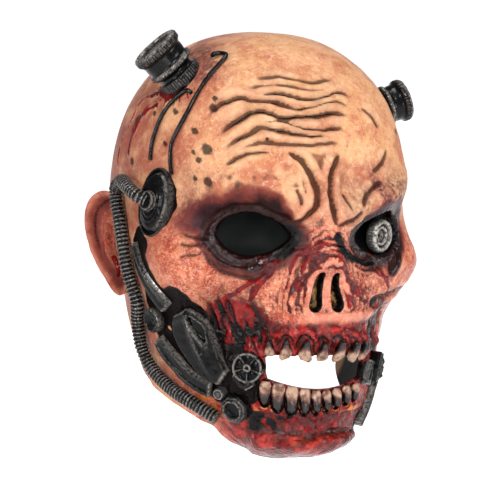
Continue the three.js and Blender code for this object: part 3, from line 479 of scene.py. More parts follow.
    # chin: a block with a ledge, and raw flesh between it and the lower gum
    chin = smooth(-125.2, -128.5, level) * smooth(27, 22, side)
    lift += 2.4 * chin + .5 * chin * fractal(p, 9, 1)
    pulp = smooth(-110, -114, level) * smooth(-127, -124, level) * smooth(30, 24, side)
    lift -= 1.4 * pulp
    lift += 1.1 * pulp * fractal(p, 5, 4)
    more("ink_and_shadow", .66 * pulp * smooth(-.1, .6, fractal(p, 7, 3) - .03 * (turn + 8)))
    more("blood", .85 * pulp)
    more("blood", .62 * chin * smooth(-.3, .4, fractal(p * [1, 1, .35], 8, 2)))
    more("red", chin)
    more("blood", .58 * chin * smooth(4, 16, turn))

    # drips and spots
    for places, half in DRIPS:
        d, share = along(q, places)
        width = 1.3 * half * (.8 + .6 * noise(p, 5, 2)) * (.35 + .65 * smooth(0, .12, share))
        lift += .6 * smooth(width + .9, width - .5, d)
        more("blood", inside_of(d, width))
    for t, l, radius in SPOTS:
        d = np.hypot(*np.moveaxis(q - flat(np.float64(t), l), -1, 0))
        more("spots", inside_of(d, radius * .75, radius * 1.3))

    # black paint round the machine pieces
    for places, reach in (([(-76, -22), (-71, -43), (-67, -52), (-62, -60)], 9),
                          ([(-72, -66), (-66, -60), (-58, -56)], 9),
                          ([(-57, -58), (-52, -70), (-46, -82), (-38, -94), (-31, -97)], 15),
                          ([(-71, -80), (-60, -91), (-46, -101), (-34, -106), (-28, -112)], 5.5),
                          ([(-75, -56), (-73, -66), (-68, -76), (-60, -84), (-50, -90)], 8),
                          ([(37, -92), (35, -106), (30, -118), (26, -126)], 6), ([(33, -88), (22, -92)], 7)):
        d, _ = along(q, places)
        more("soot", inside_of(d + 2.2 * noise(p, 6, 3), reach, 5))
    temple = np.linalg.norm((p - head(-67.6, 3.6)) * [1, 1, .72], axis=-1)
    more("soot", inside_of(temple + 1.2 * noise(p, 5, 1), 13.6, 4))

    # paint round the eyes
    zone = np.interp(turn, [-54, -42.6, -35.8, -26.4, -19.6, -14], [6, 10.6, 14, 16, 14.2, 6])
    brow = (smooth(8, -9, level - zone + 3 * noise(p, 8, 3)) * smooth(-66, -42, turn)
            * smooth(-11.5, -15.5, turn))
    more("brown", brow * smooth(-18, -6, level))
    more("brown", smooth(17, 4, near + 3 * noise(p, 8, 2)) * smooth(8, -4, level))
    more("brown", smooth(14, 3, far + 3 * noise(p, 8, 4)) * smooth(1, 4, turn))
    streak = noise(grain, 3, 2)
    more("purple", 1.2 * bump((turn - 25) / 12, 1.1) * bump((level - 14) / 9, 1.1) * (.8 + .7 * streak))
    more("purple", .6 * bump((turn + 53) / 9, 1) * bump((level - 6) / 14, 1) * (.8 + .5 * streak))
    more("ink_and_shadow", inside_of(near, 2.4, 4) * smooth(-28, -18, turn + 2 * noise(p, 4, 1)))
    more("ink_and_shadow", inside_of(near, .9, 2.4))
    more("ink_and_shadow", inside_of(far, 1.8, 3))
    canthus, _ = along(q, [(-17, -5), (-13, -7.5), (-13.4, -15), (-17, -22)])
    more("ink_and_shadow", inside_of(canthus, 2.8, 4))
    corner, _ = along(q, [(1, -8), (4, -17), (12, -24), (22, -27)])
    more("ink_and_shadow", inside_of(corner, 2.2, 4))
    outer, _ = along(q, [(38, 4), (39.5, -4), (39, -12), (38, -20), (34, -30)])
    more("brown", smooth(7, 3, outer))

    # blood below the electrode and the bruise beside it
    o = head(-75.8, 83.)
    d = np.linalg.norm(p - o, axis=-1)
    below = smooth(-2, 8, -(p - o) @ np.array([-.45, -.1, .9]) + 4 * noise(p, 5, 2))
    more("blood", inside_of(d + 3 * noise(p, 6, 1), 18, 6) * below)
    more("purple", .8 * bump(d - 20, 7) * smooth(0, 6, p[..., 2] - o[2] + 6))
    rays = np.cos(np.arctan2(p[..., 2] - o[2], p[..., 1] - o[1]) * 26 + 5 * noise(p, 9, 3))
    more("blood", .62 * smooth(34, 20, d) * smooth(0, .9, rays) * below)

    more("red", smooth(-50, -74, level + 9 * noise(p, 12, 2)) * smooth(60, 40, side - .15 * (level + 60)))
    more("red", smooth(-57, -61, level + 3 * noise(p, 6, 2)) * smooth(42, 32, side))
    mask["orange"] = smooth(0, -16, level + 5 * noise(p, 9, 4)) * smooth(74, 52, side)
    nose = bump(turn, 11) * smooth(10, -8, level)
    mask["orange"] = np.maximum(mask["orange"] * .85, nose)
    inner = bump(turn / 24, 1) * smooth(-2, -22, level) * smooth(-56, -50, level)
    more("blood", inner * (.22 + .5 * smooth(-.1, .5, fractal(p, 9, 5))) * smooth(2, 4, hole)
         * (1 - .8 * shelf))
    mask["yellow"] = smooth(24, 42, level) * smooth(62, 30, side) * (.65 + .5 * noise(p, 22, 3))
    mask["pink"] = smooth(44, 76, side) * (.75 + .4 * noise(p, 18, 1))
    mask["wet"] = np.clip(np.maximum(smooth(-40, -62, level) * smooth(60, 40, side), mask["blood"])
                          + .8 * nose
                          + .5 * smooth(8, 3, near) + .5 * smooth(8, 3, far) + .45 * mask["orange"], 0, 1)
    mask["gold"] = smooth(.2, -.8, hole)
    lift = np.maximum(lift, -2.3) - 5.8 * smooth(.5, -.6, hole)
    return lift, {k: np.clip(v, 0, 1) for k, v in mask.items()}


# Meshes
def make(name, verts, faces, material, masks=None):
    mesh = bpy.data.meshes.new(name)
    mesh.from_pydata((np.asarray(verts) * .001).tolist(), [], [list(map(int, f)) for f in faces])
    mesh.validate()
    mesh.polygons.foreach_set("use_smooth", [True] * len(mesh.polygons))
    for key, values in (masks or {}).items():
        layer = mesh.attributes.new(key, "FLOAT", "POINT")
        layer.data.foreach_set("value", np.asarray(values, np.float32))
    mesh.materials.append(material)
    mesh.update()
    thing = bpy.data.objects.new(name, mesh)
    bpy.context.scene.collection.objects.link(thing)
    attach(thing, "root")
    return thing


def lattice_faces(rows, cols, closed=False):
    i = np.arange(rows - 1)[:, None] * cols
    j = np.arange(cols if closed else cols - 1)[None]
    k = (j + 1) % cols
    return np.stack([i + j, i + k, i + cols + k, i + cols + j], -1).reshape(-1, 4)


def shell_grid(levels, columns):
    """Turn and level of the head's grid in front of the trim edge, with its triangles."""
    u = np.linspace(-1, 1, columns)
    u = .56 * u + .44 * u ** 3
    sweep = np.linspace(0, 180, 721)
    turns, index, n = [], [], 0
    for row, level in enumerate(levels):
        reach = []
        for side in (-1, 1):
            past = behind_trim(head(side * sweep, np.full_like(sweep, level)))
            hit = np.argmax(past >= 0)
            most = 180. if (past < 0).all() else 0.
            if hit > 0:
                most = float(np.interp(0, past[hit - 1:hit + 1], sweep[hit - 1:hit + 1]))
            reach.append(most)
        turns.append(u * np.where(u < 0, reach[0], reach[1]))
        ids = n + np.arange(columns)
        if min(reach) >= 179.99:
            ids[-1] = ids[0]
        if row == 0 or max(reach) < .05:
            ids[:] = ids[0]
        index.append(ids)
        n += columns
    turns, index = np.concatenate(turns), np.array(index)
    a, b, c, d = index[:-1, :-1], index[:-1, 1:], index[1:, 1:], index[1:, :-1]
    flip = (np.add.outer(np.arange(a.shape[0]), np.arange(a.shape[1])) % 2)[..., None] > 0
    one = np.where(flip, np.stack([a, d, b], -1), np.stack([a, d, c], -1)).reshape(-1, 3)
    two = np.where(flip, np.stack([b, d, c], -1), np.stack([a, c, b], -1)).reshape(-1, 3)
    tris = np.vstack([one, two])
    tris = tris[(tris[:, 0] != tris[:, 1]) & (tris[:, 1] != tris[:, 2]) & (tris[:, 2] != tris[:, 0])]
    return turns, np.repeat(levels, columns), tris


def cut(turn, level, tris, distance, step):
    """Cuts a hole: points near its outline move onto it, and the triangles across it are divided there."""
    d = distance(turn, level)
    for _ in range(2):
        near = np.abs(d) < step * .4
        t, l = turn[near], level[near]
        gt = (distance(t + .1, l) - distance(t - .1, l)) / .2
        gl = (distance(t, l + .1) - distance(t, l - .1)) / .2
        g = gt ** 2 / 1.6 ** 2 + gl ** 2 + 1e-6
        turn[near] = t - d[near] * gt / 1.6 ** 2 / g
        level[near] = l - d[near] * gl / g
        d = distance(turn, level)
    d[np.abs(d) < .05] = 0
    low, high = d[tris].min(1), d[tris].max(1)
    kept = [tris[low >= 0]]
    turn, level, fresh, extra = list(turn), list(level), {}, []

    def between(i, j):
        key = (min(i, j), max(i, j))
        if key not in fresh:
            t = d[key[0]] / (d[key[0]] - d[key[1]])
            turn.append(turn[key[0]] + t * (turn[key[1]] - turn[key[0]]))
            level.append(level[key[0]] + t * (level[key[1]] - level[key[0]]))
            fresh[key] = len(turn) - 1
        return fresh[key]

    for tri in tris[(low < 0) & (high > 0)]:
        ring = []
        for i, j in zip(tri, np.roll(tri, -1)):
            if d[i] >= 0:
                ring.append(int(i))
            if d[i] * d[j] < 0:
                ring.append(between(int(i), int(j)))
        extra += [[ring[0], ring[k], ring[k + 1]] for k in range(1, len(ring) - 1)]
    kept.append(np.array(extra, int).reshape(-1, 3))
    return np.array(turn), np.array(level), np.vstack(kept)


def tidy(tris, *values):
    used, back = np.unique(tris, return_inverse=True)
    return back.reshape(tris.shape), *[v[used] for v in values]


def rim_edges(tris):
    e = np.vstack([tris[:, [0, 1]], tris[:, [1, 2]], tris[:, [2, 0]]])
    key = np.sort(e, 1)
    _, first, count = np.unique(key, axis=0, return_index=True, return_counts=True)
    return e[first[count == 1]]


def last_level():
    trial = np.linspace(-SIDE, -SIDE - UNDER, 400)
    past = behind_trim(head(np.zeros_like(trial), trial))
    hit = np.argmax(past >= 0)
    return float(np.interp(0, past[hit - 1:hit + 1], trial[hit - 1:hit + 1]))


def shell(rows, columns, step):
    lowest = last_level()
    n = [int(rows * s) for s in (.1, .8)]
    levels = np.concatenate([
        np.linspace(ARC, 96, n[0], endpoint=False), np.linspace(96, -SIDE, n[1], endpoint=False),
        -SIDE - (SIDE + lowest) * -np.sin(np.linspace(0, np.pi / 2, rows - sum(n)))])
    turn, level, tris = shell_grid(levels, columns)
    for distance in CUTS:
        tris, turn, level = tidy(tris, turn, level)
        turn, level, tris = cut(turn, level, tris, distance, step)
    tris, turn, level = tidy(tris, turn, level)
    return turn, level, tris


def relax(values, tris, times):
    """Values blurred over the mesh, towards the mean of each corner's neighbours."""
    e = np.vstack([tris[:, [0, 1]], tris[:, [1, 2]], tris[:, [2, 0]]])
    count = np.bincount(e.ravel(), minlength=len(values)).astype(float)
    for _ in range(times):
        total = (np.bincount(e[:, 0], values[e[:, 1]], len(values))
                 + np.bincount(e[:, 1], values[e[:, 0]], len(values)))
        values = total / count
    return values


# Materials
def colour(r, g, b):
    """Linear colour from the usual 0 to 255 values."""
    return tuple((c / 255 / 12.92 if c <= 10 else ((c / 255 + .055) / 1.055) ** 2.4)
                 for c in (r, g, b)) + (1,)


class Paint:
    """A node material: small helpers that return sockets."""

    def __init__(self, name):
        self.material = bpy.data.materials.new(name)
        self.material.use_nodes = True
        self.tree = self.material.node_tree
        self.shader = self.tree.nodes["Principled BSDF"]
        self.place = self.tree.nodes.new("ShaderNodeTexCoord").outputs["Object"]

    def put(self, socket, value):
        if isinstance(value, bpy.types.NodeSocket):
            self.tree.links.new(value, socket)
        else:
            socket.default_value = value

    def mask(self, name):
        node = self.tree.nodes.new("ShaderNodeAttribute")
        node.attribute_name = name
        return node.outputs["Fac"]

    def noise(self, size, detail=4, rough=.6, distortion=0):
        """Noise whose cells are that many millimetres, from about 0.3 to 0.7."""
        node = self.tree.nodes.new("ShaderNodeTexNoise")
        self.put(node.inputs["Vector"], self.place)
        for key, value in (("Scale", 1000 / size), ("Detail", detail), ("Roughness", rough),
                           ("Distortion", distortion)):
            node.inputs[key].default_value = value
        return node.outputs["Fac"]

    def cells(self, size):
        node = self.tree.nodes.new("ShaderNodeTexVoronoi")
        self.put(node.inputs["Vector"], self.place)
        node.inputs["Scale"].default_value = 1000 / size
        return node.outputs["Distance"]

    def span(self, value, a, b, low=0., high=1.):
        node = self.tree.nodes.new("ShaderNodeMapRange")
        node.interpolation_type = "SMOOTHSTEP"
        self.put(node.inputs["Value"], value)
        for key, number in (("From Min", a), ("From Max", b), ("To Min", low), ("To Max", high)):
            node.inputs[key].default_value = number
        return node.outputs["Result"]

    def math(self, kind, a, b=0., c=0.):
        node = self.tree.nodes.new("ShaderNodeMath")
        node.operation = kind
        for socket, value in zip(node.inputs, (a, b, c)):
            self.put(socket, value)
        return node.outputs[0]

    def times(self, a, b):
        return self.math("MULTIPLY", a, b)

    def mix(self, a, b, share):
        node = self.tree.nodes.new("ShaderNodeMix")
        node.data_type = "RGBA"
        self.put(node.inputs[0], share)
        self.put(node.inputs[6], a)
        self.put(node.inputs[7], b)
        return node.outputs[2]

    def bump(self, height, distance, before=None):
        node = self.tree.nodes.new("ShaderNodeBump")
        node.inputs["Distance"].default_value = distance * .001
        self.put(node.inputs["Height"], height)
        if before is not None:
            self.put(node.inputs["Normal"], before)
        return node.outputs["Normal"]

    def set(self, **values):
        for key, value in values.items():
            self.put(self.shader.inputs[key.replace("_", " ")], value)
        return self.material


def skin_paint():
    s = Paint("painted_latex")
    fine, broad, blotch = s.noise(1.6), s.noise(22, 3), s.noise(6, 5, .65)
    stroke = s.noise(4, 6, .75, 1.5)

    def broken(name, size, amount, low=.42, high=.58):
        """A mask with its edge broken up by noise of that size."""
        rough = s.math("MULTIPLY_ADD", s.noise(size, 5, .7), amount, -amount / 2)
        return s.span(s.math("ADD", s.mask(name), rough), low, high)

    base = s.mix(colour(212, 158, 118), colour(180, 108, 80), s.span(broad, .38, .62))
    base = s.mix(base, colour(214, 164, 110), s.times(s.mask("yellow"), s.span(blotch, .3, .75)))
    base = s.mix(base, colour(146, 78, 64), s.times(s.mask("pink"), s.span(broad, .25, .6)))
    warm = s.mix(colour(160, 44, 28), colour(208, 116, 84), s.span(blotch, .44, .6))
    base = s.mix(base, warm, s.times(s.mask("orange"), s.span(fine, .1, .5)))
    base = s.mix(base, colour(228, 186, 156),
                 s.times(s.span(stroke, .52, .64), s.math("MULTIPLY_ADD", s.mask("pink"), -.48, .58)))
    base = s.mix(base, colour(146, 62, 44), s.times(s.span(stroke, .47, .36), .5))
    vein = s.math("ABSOLUTE", s.math("SUBTRACT", s.noise(11, 3, .55, 1.4), .5))
    thread = s.times(s.span(vein, .022, .006), s.span(broad, .4, .6))
    base = s.mix(base, colour(120, 26, 20), s.times(s.mask("orange"), thread))
    line = s.math("ABSOLUTE", s.math("SUBTRACT", s.noise(8, 4, .6, 2.2), .5))
    base = s.mix(base, colour(232, 180, 154), s.times(s.mask("orange"), s.span(line, .03, .004, 0., .6)))
    red = s.mix(colour(96, 10, 9), colour(176, 42, 34), s.span(blotch, .44, .64))
    base = s.mix(base, red, s.mask("red"))
    base = s.mix(base, colour(216, 140, 116), s.times(s.mask("pale"), .8))
    # painted highlight on the raised rolls beside the folds
    base = s.mix(base, colour(238, 196, 158), s.times(s.mask("light"), .8))
    base = s.mix(base, colour(98, 56, 36), s.times(s.mask("shade"), .85))
    around = s.math("ADD", s.mask("brown"), s.math("MULTIPLY_ADD", blotch, .5, -.25))
    base = s.mix(base, colour(112, 50, 42), s.span(around, .05, .5))
    base = s.mix(base, colour(30, 8, 8), s.span(around, .42, .92))
    base = s.mix(base, colour(66, 38, 50), s.times(s.mask("purple"), s.span(s.noise(3, 5), .3, .65)))
    base = s.mix(base, colour(206, 120, 40), s.times(s.mask("amber"), .85))
    deep = s.mix(colour(74, 3, 4), colour(134, 12, 10), s.span(blotch, .42, .64))
    base = s.mix(base, deep, broken("blood", 2.2, .7))
    base = s.mix(base, colour(34, 26, 22), s.times(broken("spots", 1.4, .9, .36, .66), .88))
    # painted shade in creases and hollows, from the crease mask
    hollow = s.math("ADD", s.mask("crease_shade"), s.math("MULTIPLY_ADD", s.noise(2, 4), .4, -.2))
    base = s.mix(base, colour(52, 24, 18), s.times(s.span(hollow, .1, .85), .8))
    # near-black lines and marks, with painted shadow round the teeth and in the cheek dent
    base = s.mix(base, colour(9, 5, 5), broken("ink_and_shadow", 1.3, .45, .34, .6))
    base = s.mix(base, colour(14, 7, 7), broken("soot", 3, .4))
    bone = s.mix(colour(34, 22, 12), colour(150, 112, 60), s.span(s.noise(5, 3), .42, .62))
    base = s.mix(base, bone, s.span(s.mask("gold"), .45, .85))
    shine = s.math("MULTIPLY_ADD", s.mask("wet"), -.28, .38)
    shine = s.math("ADD", shine, s.math("MULTIPLY_ADD", blotch, .12, -.06))
    normal = s.bump(s.noise(3.2, 2, .5), .5)
    normal = s.bump(stroke, .22, normal)
    normal = s.bump(s.times(s.mask("wet"), s.noise(6, 2, .45, .8)), 1.9, normal)
    dull = s.math("MULTIPLY_ADD", s.math("MAXIMUM", s.mask("soot"), s.mask("ink_and_shadow")), -.75, 1.)
    return s.set(Base_Color=base, Roughness=shine, Normal=normal,
                 Specular_IOR_Level=s.times(dull, s.math("MULTIPLY_ADD", s.mask("wet"), .22, .1)))


def lining_paint():
    s = Paint("bare_latex")
    base = s.mix(colour(176, 140, 112), colour(150, 112, 88), s.span(s.noise(16, 4), .35, .65))
    # painted shade: the inside of the jaw, seen through the mouth, near black
    base = s.mix(base, colour(10, 7, 6), s.span(s.mask("jaw"), .3, .7))
    return s.set(Base_Color=base, Roughness=.7, Normal=s.bump(s.noise(3, 5), .5))


def metal_paint(name, dark, mid, worn_and_lit, amount, rough=.26):
    s = Paint(name)
    base = s.mix(dark, mid, s.span(s.noise(7, 5, .7), .42, .7))
    # worn paint on the edges, together with painted highlights such as the crescent on the temple disc
    wear_and_highlight = s.times(s.mask("edge"), s.span(s.noise(1.6, 6, .75), .38, .58))
    base = s.mix(base, worn_and_lit, s.times(wear_and_highlight, amount))
    shine = s.math("ADD", rough, s.math("MULTIPLY_ADD", s.noise(4, 5), .3, -.15))
    return s.set(Base_Color=base, Roughness=shine, Normal=s.bump(s.noise(2.4, 2, .5), .16),
                 Metallic=s.times(wear_and_highlight, .4), Specular_IOR_Level=.2)


def tooth_paint():
    s = Paint("tooth_ivory")
    base = s.mix(colour(176, 140, 116), colour(100, 66, 54), s.span(s.noise(4, 5, .6), .38, .64))
    # painted shadow at each tooth's root and on its sides next to its neighbours
    root = s.math("ADD", s.mask("root"), s.math("MULTIPLY_ADD", s.noise(2.2, 5, .7), .6, -.3))
    base = s.mix(base, colour(78, 42, 34), s.span(root, .12, .5))
    base = s.mix(base, colour(10, 6, 5), s.span(root, .42, .8))
    return s.set(Base_Color=base, Roughness=.24, Normal=s.bump(s.noise(1.8, 4), .3))


def screen_paint():
    s = Paint("dark_screen")
    base = s.mix(colour(3, 6, 6), colour(16, 16, 13), s.span(s.noise(12, 3), .4, .7))
    return s.set(Base_Color=base, Roughness=.55, Normal=s.bump(s.cells(.7), .03), Specular_IOR_Level=.08)


def wire_paint():
    s = Paint("black_wire")
    base = s.mix(colour(4, 4, 5), colour(16, 16, 18), s.span(s.noise(3, 4), .45, .7))
    return s.set(Base_Color=base, Roughness=.18, Normal=s.bump(s.noise(2, 4), .3), Specular_IOR_Level=.3)


SKIN, LINING, TOOTH, SCREEN, WIRE = skin_paint(), lining_paint(), tooth_paint(), screen_paint(), wire_paint()
GUN = metal_paint("gunmetal_paint", colour(4, 4, 5), colour(15, 14, 16), colour(146, 140, 134), .8)
CORE = metal_paint("dark_red_core", colour(14, 2, 2), colour(66, 10, 8), colour(150, 144, 138), .7)
STEEL = metal_paint("worn_steel_paint", colour(52, 50, 50), colour(92, 88, 86), colour(196, 190, 182),
                    .9, .34)


# The shell
def build_shell():
    turn, level, tris = shell(*(((290, 290, .95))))
    lift, masks = sculpt(turn, level)
    base, normal = head(turn, level), head_normal(turn, level)
    verts = base + normal * lift[:, None]
    # painted shade: how far each point sinks below its smoothed neighbours, to darken creases and hollows
    crease_shade = relax(lift, tris, 14) - lift
    masks["crease_shade"] = np.clip(crease_shade / .9, 0, 1)
    edges = rim_edges(tris)
    rim = np.unique(edges)
    back = np.full(len(verts), -1)
    mid = back.copy()
    back[rim] = len(verts) + np.arange(len(rim))
    mid[rim] = len(verts) + len(rim) + np.arange(len(rim))
    inner = base[rim] - normal[rim] * (WALL + .15)
    between = base[rim] - normal[rim] * 1.0
    verts = np.vstack([verts, inner, between])
    masks = {k: np.concatenate([v, v[rim], v[rim]]) for k, v in masks.items()}
    a, b = edges.T
    strips = np.vstack([np.stack([b, a, mid[a]], -1), np.stack([b, mid[a], mid[b]], -1),
                        np.stack([mid[b], mid[a], back[a]], -1), np.stack([mid[b], back[a], back[b]], -1)])
    skin = make("mask_face", verts, np.vstack([tris, strips]), SKIN, masks)
    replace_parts(skin, "mask_skin")
    turn, level, tris = shell(96, 96, 2.6)
    bulge = NOSE_ROOM * np.exp(-.5 * ((turn / NOSE_ROOM_WIDE) ** 2
                                      + ((level - NOSE_ROOM_LEVEL) / NOSE_ROOM_TALL) ** 2))
    inside = head(turn, level) - head_normal(turn, level) * (WALL + bulge)[:, None]
    # where the lining is painted near black as the shade inside the jaw
    jaw = smooth(-42, -54, level) * smooth(96, 76, np.abs(turn))
    make("mask_inside", inside, tris[:, ::-1], LINING, {"jaw": jaw})


build_shell()


def in_wall(verts):
    """The same points, with any that would come out on the inside of the shell drawn back into its wall."""
    v = np.asarray(verts, float).reshape(-1, 3)
    turn, out, rise = np.degrees(np.arctan2(v[:, 0], -v[:, 1])), np.hypot(v[:, 0], v[:, 1]), v[:, 2] - EQUATOR
    level = np.where(rise > 0, np.arctan2(rise, out) / (np.pi / 2) * ARC, np.maximum(rise, -SIDE))
    centre = np.stack([0 * out, 0 * out, np.where(rise > 0, EQUATOR, v[:, 2])], -1)
    least = np.where(rise > -SIDE, np.linalg.norm(head(turn, level) - centre, axis=-1) - SEATED, 0)
    reach = np.maximum(np.linalg.norm(v - centre, axis=-1), 1e-6)
    return centre + (v - centre) * (np.maximum(reach, least) / reach)[:, None]


# Ears
def build_ear(side):
    spread, lean = math.radians(28), math.radians(18)
    back = np.array([side * math.sin(spread), math.cos(spread), 0])
    out = np.array([side * math.cos(spread), -math.sin(spread), 0])
    up = np.array([0, 0, math.cos(lean)]) + back * math.sin(lean)
    across = back * math.cos(lean) + np.array([0, 0, -math.sin(lean)])
    middle = np.array([side * (WIDE + .33), 18.15, -126.5])
    rings, sides = 44, 120
    angle = np.linspace(0, 2 * np.pi, sides, endpoint=False)
    share = np.concatenate([np.linspace(.02, 1, rings), np.linspace(1, .02, rings)[1:]])
    front = (np.arange(len(share)) < rings)[:, None]
    s, a = np.meshgrid(share, angle, indexing="ij")
    egg = 1 + .34 * np.sin(a)
    x, y = 16.5 * egg * np.cos(a) * s, 32 * np.sin(a) * s
    dish = -8 * (1 - s ** 2) - 2 * smooth(.7, 1, s) * np.where(front, -1, 1) * .6
    upper = smooth(-12, 2, y)
    helix = 2.2 * bump(s - .93, .06) * smooth(-22, -8, y)
    anti = 2.6 * bump(np.hypot((x - 1) / 10, (y + 1) / 21) - .78, .12) * smooth(-15, -4, y)
    concha = -2.2 * bump(np.hypot((x + 3.5) / 7.5, (y + 2) / 11), .6)
    lobe = 3.2 * bump(np.hypot((x + 2) / 8, (y + 24) / 8), .8)
    tragus = 3.4 * bump(np.hypot((x + 12.5) / 2.8, (y + 1) / 5), .8)
    relief = helix + anti + concha + lobe + tragus - .8 * upper * bump(s - .8, .06)
    p = np.stack([x, y, s], -1)
    height = np.where(front, dish + relief + .3 * fractal(p * [1, 1, 6], 6, 2),
                      dish - 4 * (1 - s ** 6) + .3 * relief)
    verts = middle + x[..., None] * across + y[..., None] * up + height[..., None] * out
    masks = {k: np.zeros(verts.shape[:2]) for k in MASKS}
    masks["pink"] += .8
    masks["orange"] = np.clip((.9 - .4 * smooth(.8, 1, s)) * front, 0, 1)
    masks["brown"] = np.clip((.25 + .75 * smooth(-.1, -1.8, concha) + .3 * bump(s - .76, .08)) * front, 0, 1)
    masks["pale"] = np.clip(.4 * helix, 0, 1)
    masks["ink_and_shadow"] = np.clip(.5 * bump(s - .8, .05) * upper * front, 0, 1)
    drip, _ = along(np.stack([x, y], -1) + .8 * np.stack([noise(p, 5, 1), noise(p, 5, 2)], -1),
                    [(4, -8), (2, -20)])
    masks["blood"] = 1.1 * smooth(1.3, .7, drip) * front
    masks["wet"] = masks["blood"]
    faces = lattice_faces(len(share), sides, closed=True)
    faces = faces[:, ::-1] if side > 0 else faces
    flat_masks = {k: np.clip(v, 0, 1).ravel() for k, v in masks.items()}
    name = "ear_left" if side > 0 else "ear_right"
    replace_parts(make(name + "_leaf", in_wall(verts), faces, SKIN, flat_masks), name)


build_ear(-1)
build_ear(1)


# Teeth
def build_teeth(name, rows, sign):
    verts, faces, root_shadows, n = [], [], [], 0
    rings, sides = 22, 26
    for k, (turn, wide, long, level) in enumerate(rows):
        t = np.linspace(0, 1, rings)[:, None]
        a = np.linspace(0, 2 * np.pi, sides, endpoint=False)[None]
        if sign > 0:
            girth = (.34 + .7 * t ** .9) * (1 - .42 * smooth(.8, 1, t)) * smooth(-.02, .08, t)
            slope = 2.1 * math.sin(k * 2.1)
        else:
            girth = (.6 + .42 * smooth(0, .5, t)) * (1 - .3 * smooth(.8, 1, t)) * smooth(-.02, .1, t)
            slope = .4 * math.sin(k * 1.7)
        cap = np.sqrt(np.clip(1 - smooth(.9, 1, t) ** 2 * .97, 0, 1))
        x = wide / 2 * girth * np.sign(np.cos(a)) * np.abs(np.cos(a)) ** .8
        z = 2.7 * (.55 + .5 * np.sin(np.pi * np.clip(t + .1, 0, 1))) * cap * np.sin(a)
        y = -sign * (t - .5) * long + slope * x / wide * 2 * t
        p = np.stack([x + 0 * z, y + 0 * z, z + 0 * x], -1) + k * 37
        wear = (.22 * fractal(p, 3, 3)[..., None]
                * np.stack([np.cos(a) + 0 * t, 0 * a * t, np.sin(a) + 0 * t], -1))
        local = p - k * 37 + wear + [0, 0, 1.7]
        verts.append(place(seat(turn, level), local).reshape(-1, 3))
        # painted shadow: darker towards the root and on the sides facing the next teeth
        deep = 1.1 - 2.0 * t if sign > 0 else 1.25 - 1.7 * t
        root_shadows.append((np.clip(deep, 0, 1) + .6 * np.abs(np.cos(a)) ** 3 * smooth(1, .3, t)).ravel())
        faces.append(lattice_faces(rings, sides, closed=True) + n)
        ends = [[n + (rings - 1) * sides + i for i in range(sides)]]
        faces.append(ends)
        n += rings * sides
    flat_faces = [f for group in faces for f in (group.tolist() if hasattr(group, "tolist") else group)]
    made = make(name, np.vstack(verts), flat_faces, TOOTH, {"root": np.concatenate(root_shadows)})
    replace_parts(made, name.replace("_row", "_teeth"))


build_teeth("upper_row", UPPER, 1)
build_teeth("lower_row", LOWER, -1)


# Eye screens
def build_screen(side):
    turn, level = np.meshgrid(np.linspace(-17, 17, 40), np.linspace(-17.5, 17.5, 40))
    q = np.hypot(turn / 17, level / 17.5)
    fit = np.where(q > 1, 1 / q, 1)
    t, l = side * EYE_TURN + turn * fit, EYE_LEVEL + level * fit
    puff = .9 * np.clip(1 - q, 0, 1)
    verts = head(t, l) - head_normal(t, l) * (WALL + .9 - puff)[..., None]
    faces = lattice_faces(40, 40)
    made = make(f"screen_{'left' if side > 0 else 'right'}", verts.reshape(-1, 3), faces, SCREEN)
    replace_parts(made, f"eye_screen_{'left' if side > 0 else 'right'}")


build_screen(-1)
build_screen(1)


# Machine pieces: built for the right side, and mirrored for the left
def finish_piece(name, node, verts, faces, masks, paint=GUN, left=False):
    verts = in_wall(verts)
    if left:
        verts = verts * [-1, 1, 1]
        faces = [list(f)[::-1] for f in faces]
    made = make(name, verts, faces, paint, {k: np.clip(v, 0, 1).ravel() for k, v in masks.items()})
    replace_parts(made, node)


def worn_and_lit(height):
    """Edge mask of a grid from how much each row stands out from the mean of the rows beside it."""
    soft = (np.roll(height, 1, 0) + np.roll(height, -1, 0)) / 2
    return np.clip((height - soft) * 5., 0, 1)


def lathe(name, node, frame4, profile, knurls=(), sides=160, paint=GUN, left=False,
          edges=()):
    """Turned piece from rows of radius and height; knurls of height from, to, count, depth; heights of worn
    bands with painted highlight.
    """
    rows = []
    for (r0, h0), (r1, h1) in zip(profile, profile[1:]):
        n = max(int(math.hypot(r1 - r0, h1 - h0) / .7), 1)
        rows += [(r0 + (r1 - r0) * k / n, h0 + (h1 - h0) * k / n) for k in range(n)]
    rows.append(profile[-1])
    rows = np.array(rows, float)
    r, h = rows[:, :1], rows[:, 1:]
    a = np.linspace(0, 2 * np.pi, sides, endpoint=False)[None]
    r = r + 0 * a
    edge = np.zeros_like(r)
    for low, high, count, depth in knurls:
        zone = smooth(low - .3, low + .1, h) * smooth(high + .3, high - .1, h) * (rows[:, :1] > .5)
        tooth = np.clip(1.4 * np.sin(a * count), -1, 1)
        r = r + zone * depth * tooth
        edge = np.maximum(edge, .5 * zone * np.clip(tooth, 0, 1))
    for low, high in edges:
        edge = np.maximum(edge, smooth(low - .5, low, h) * smooth(high + .5, high, h) + 0 * a)
    p = np.stack([r * np.cos(a), r * np.sin(a), h + 0 * a], -1)
    p = p + .12 * fractal(p, 3, 1)[..., None]
    finish_piece(name, node, place(frame4, p), lattice_faces(len(rows), sides, closed=True).tolist(),
                 {"edge": edge}, paint, left)


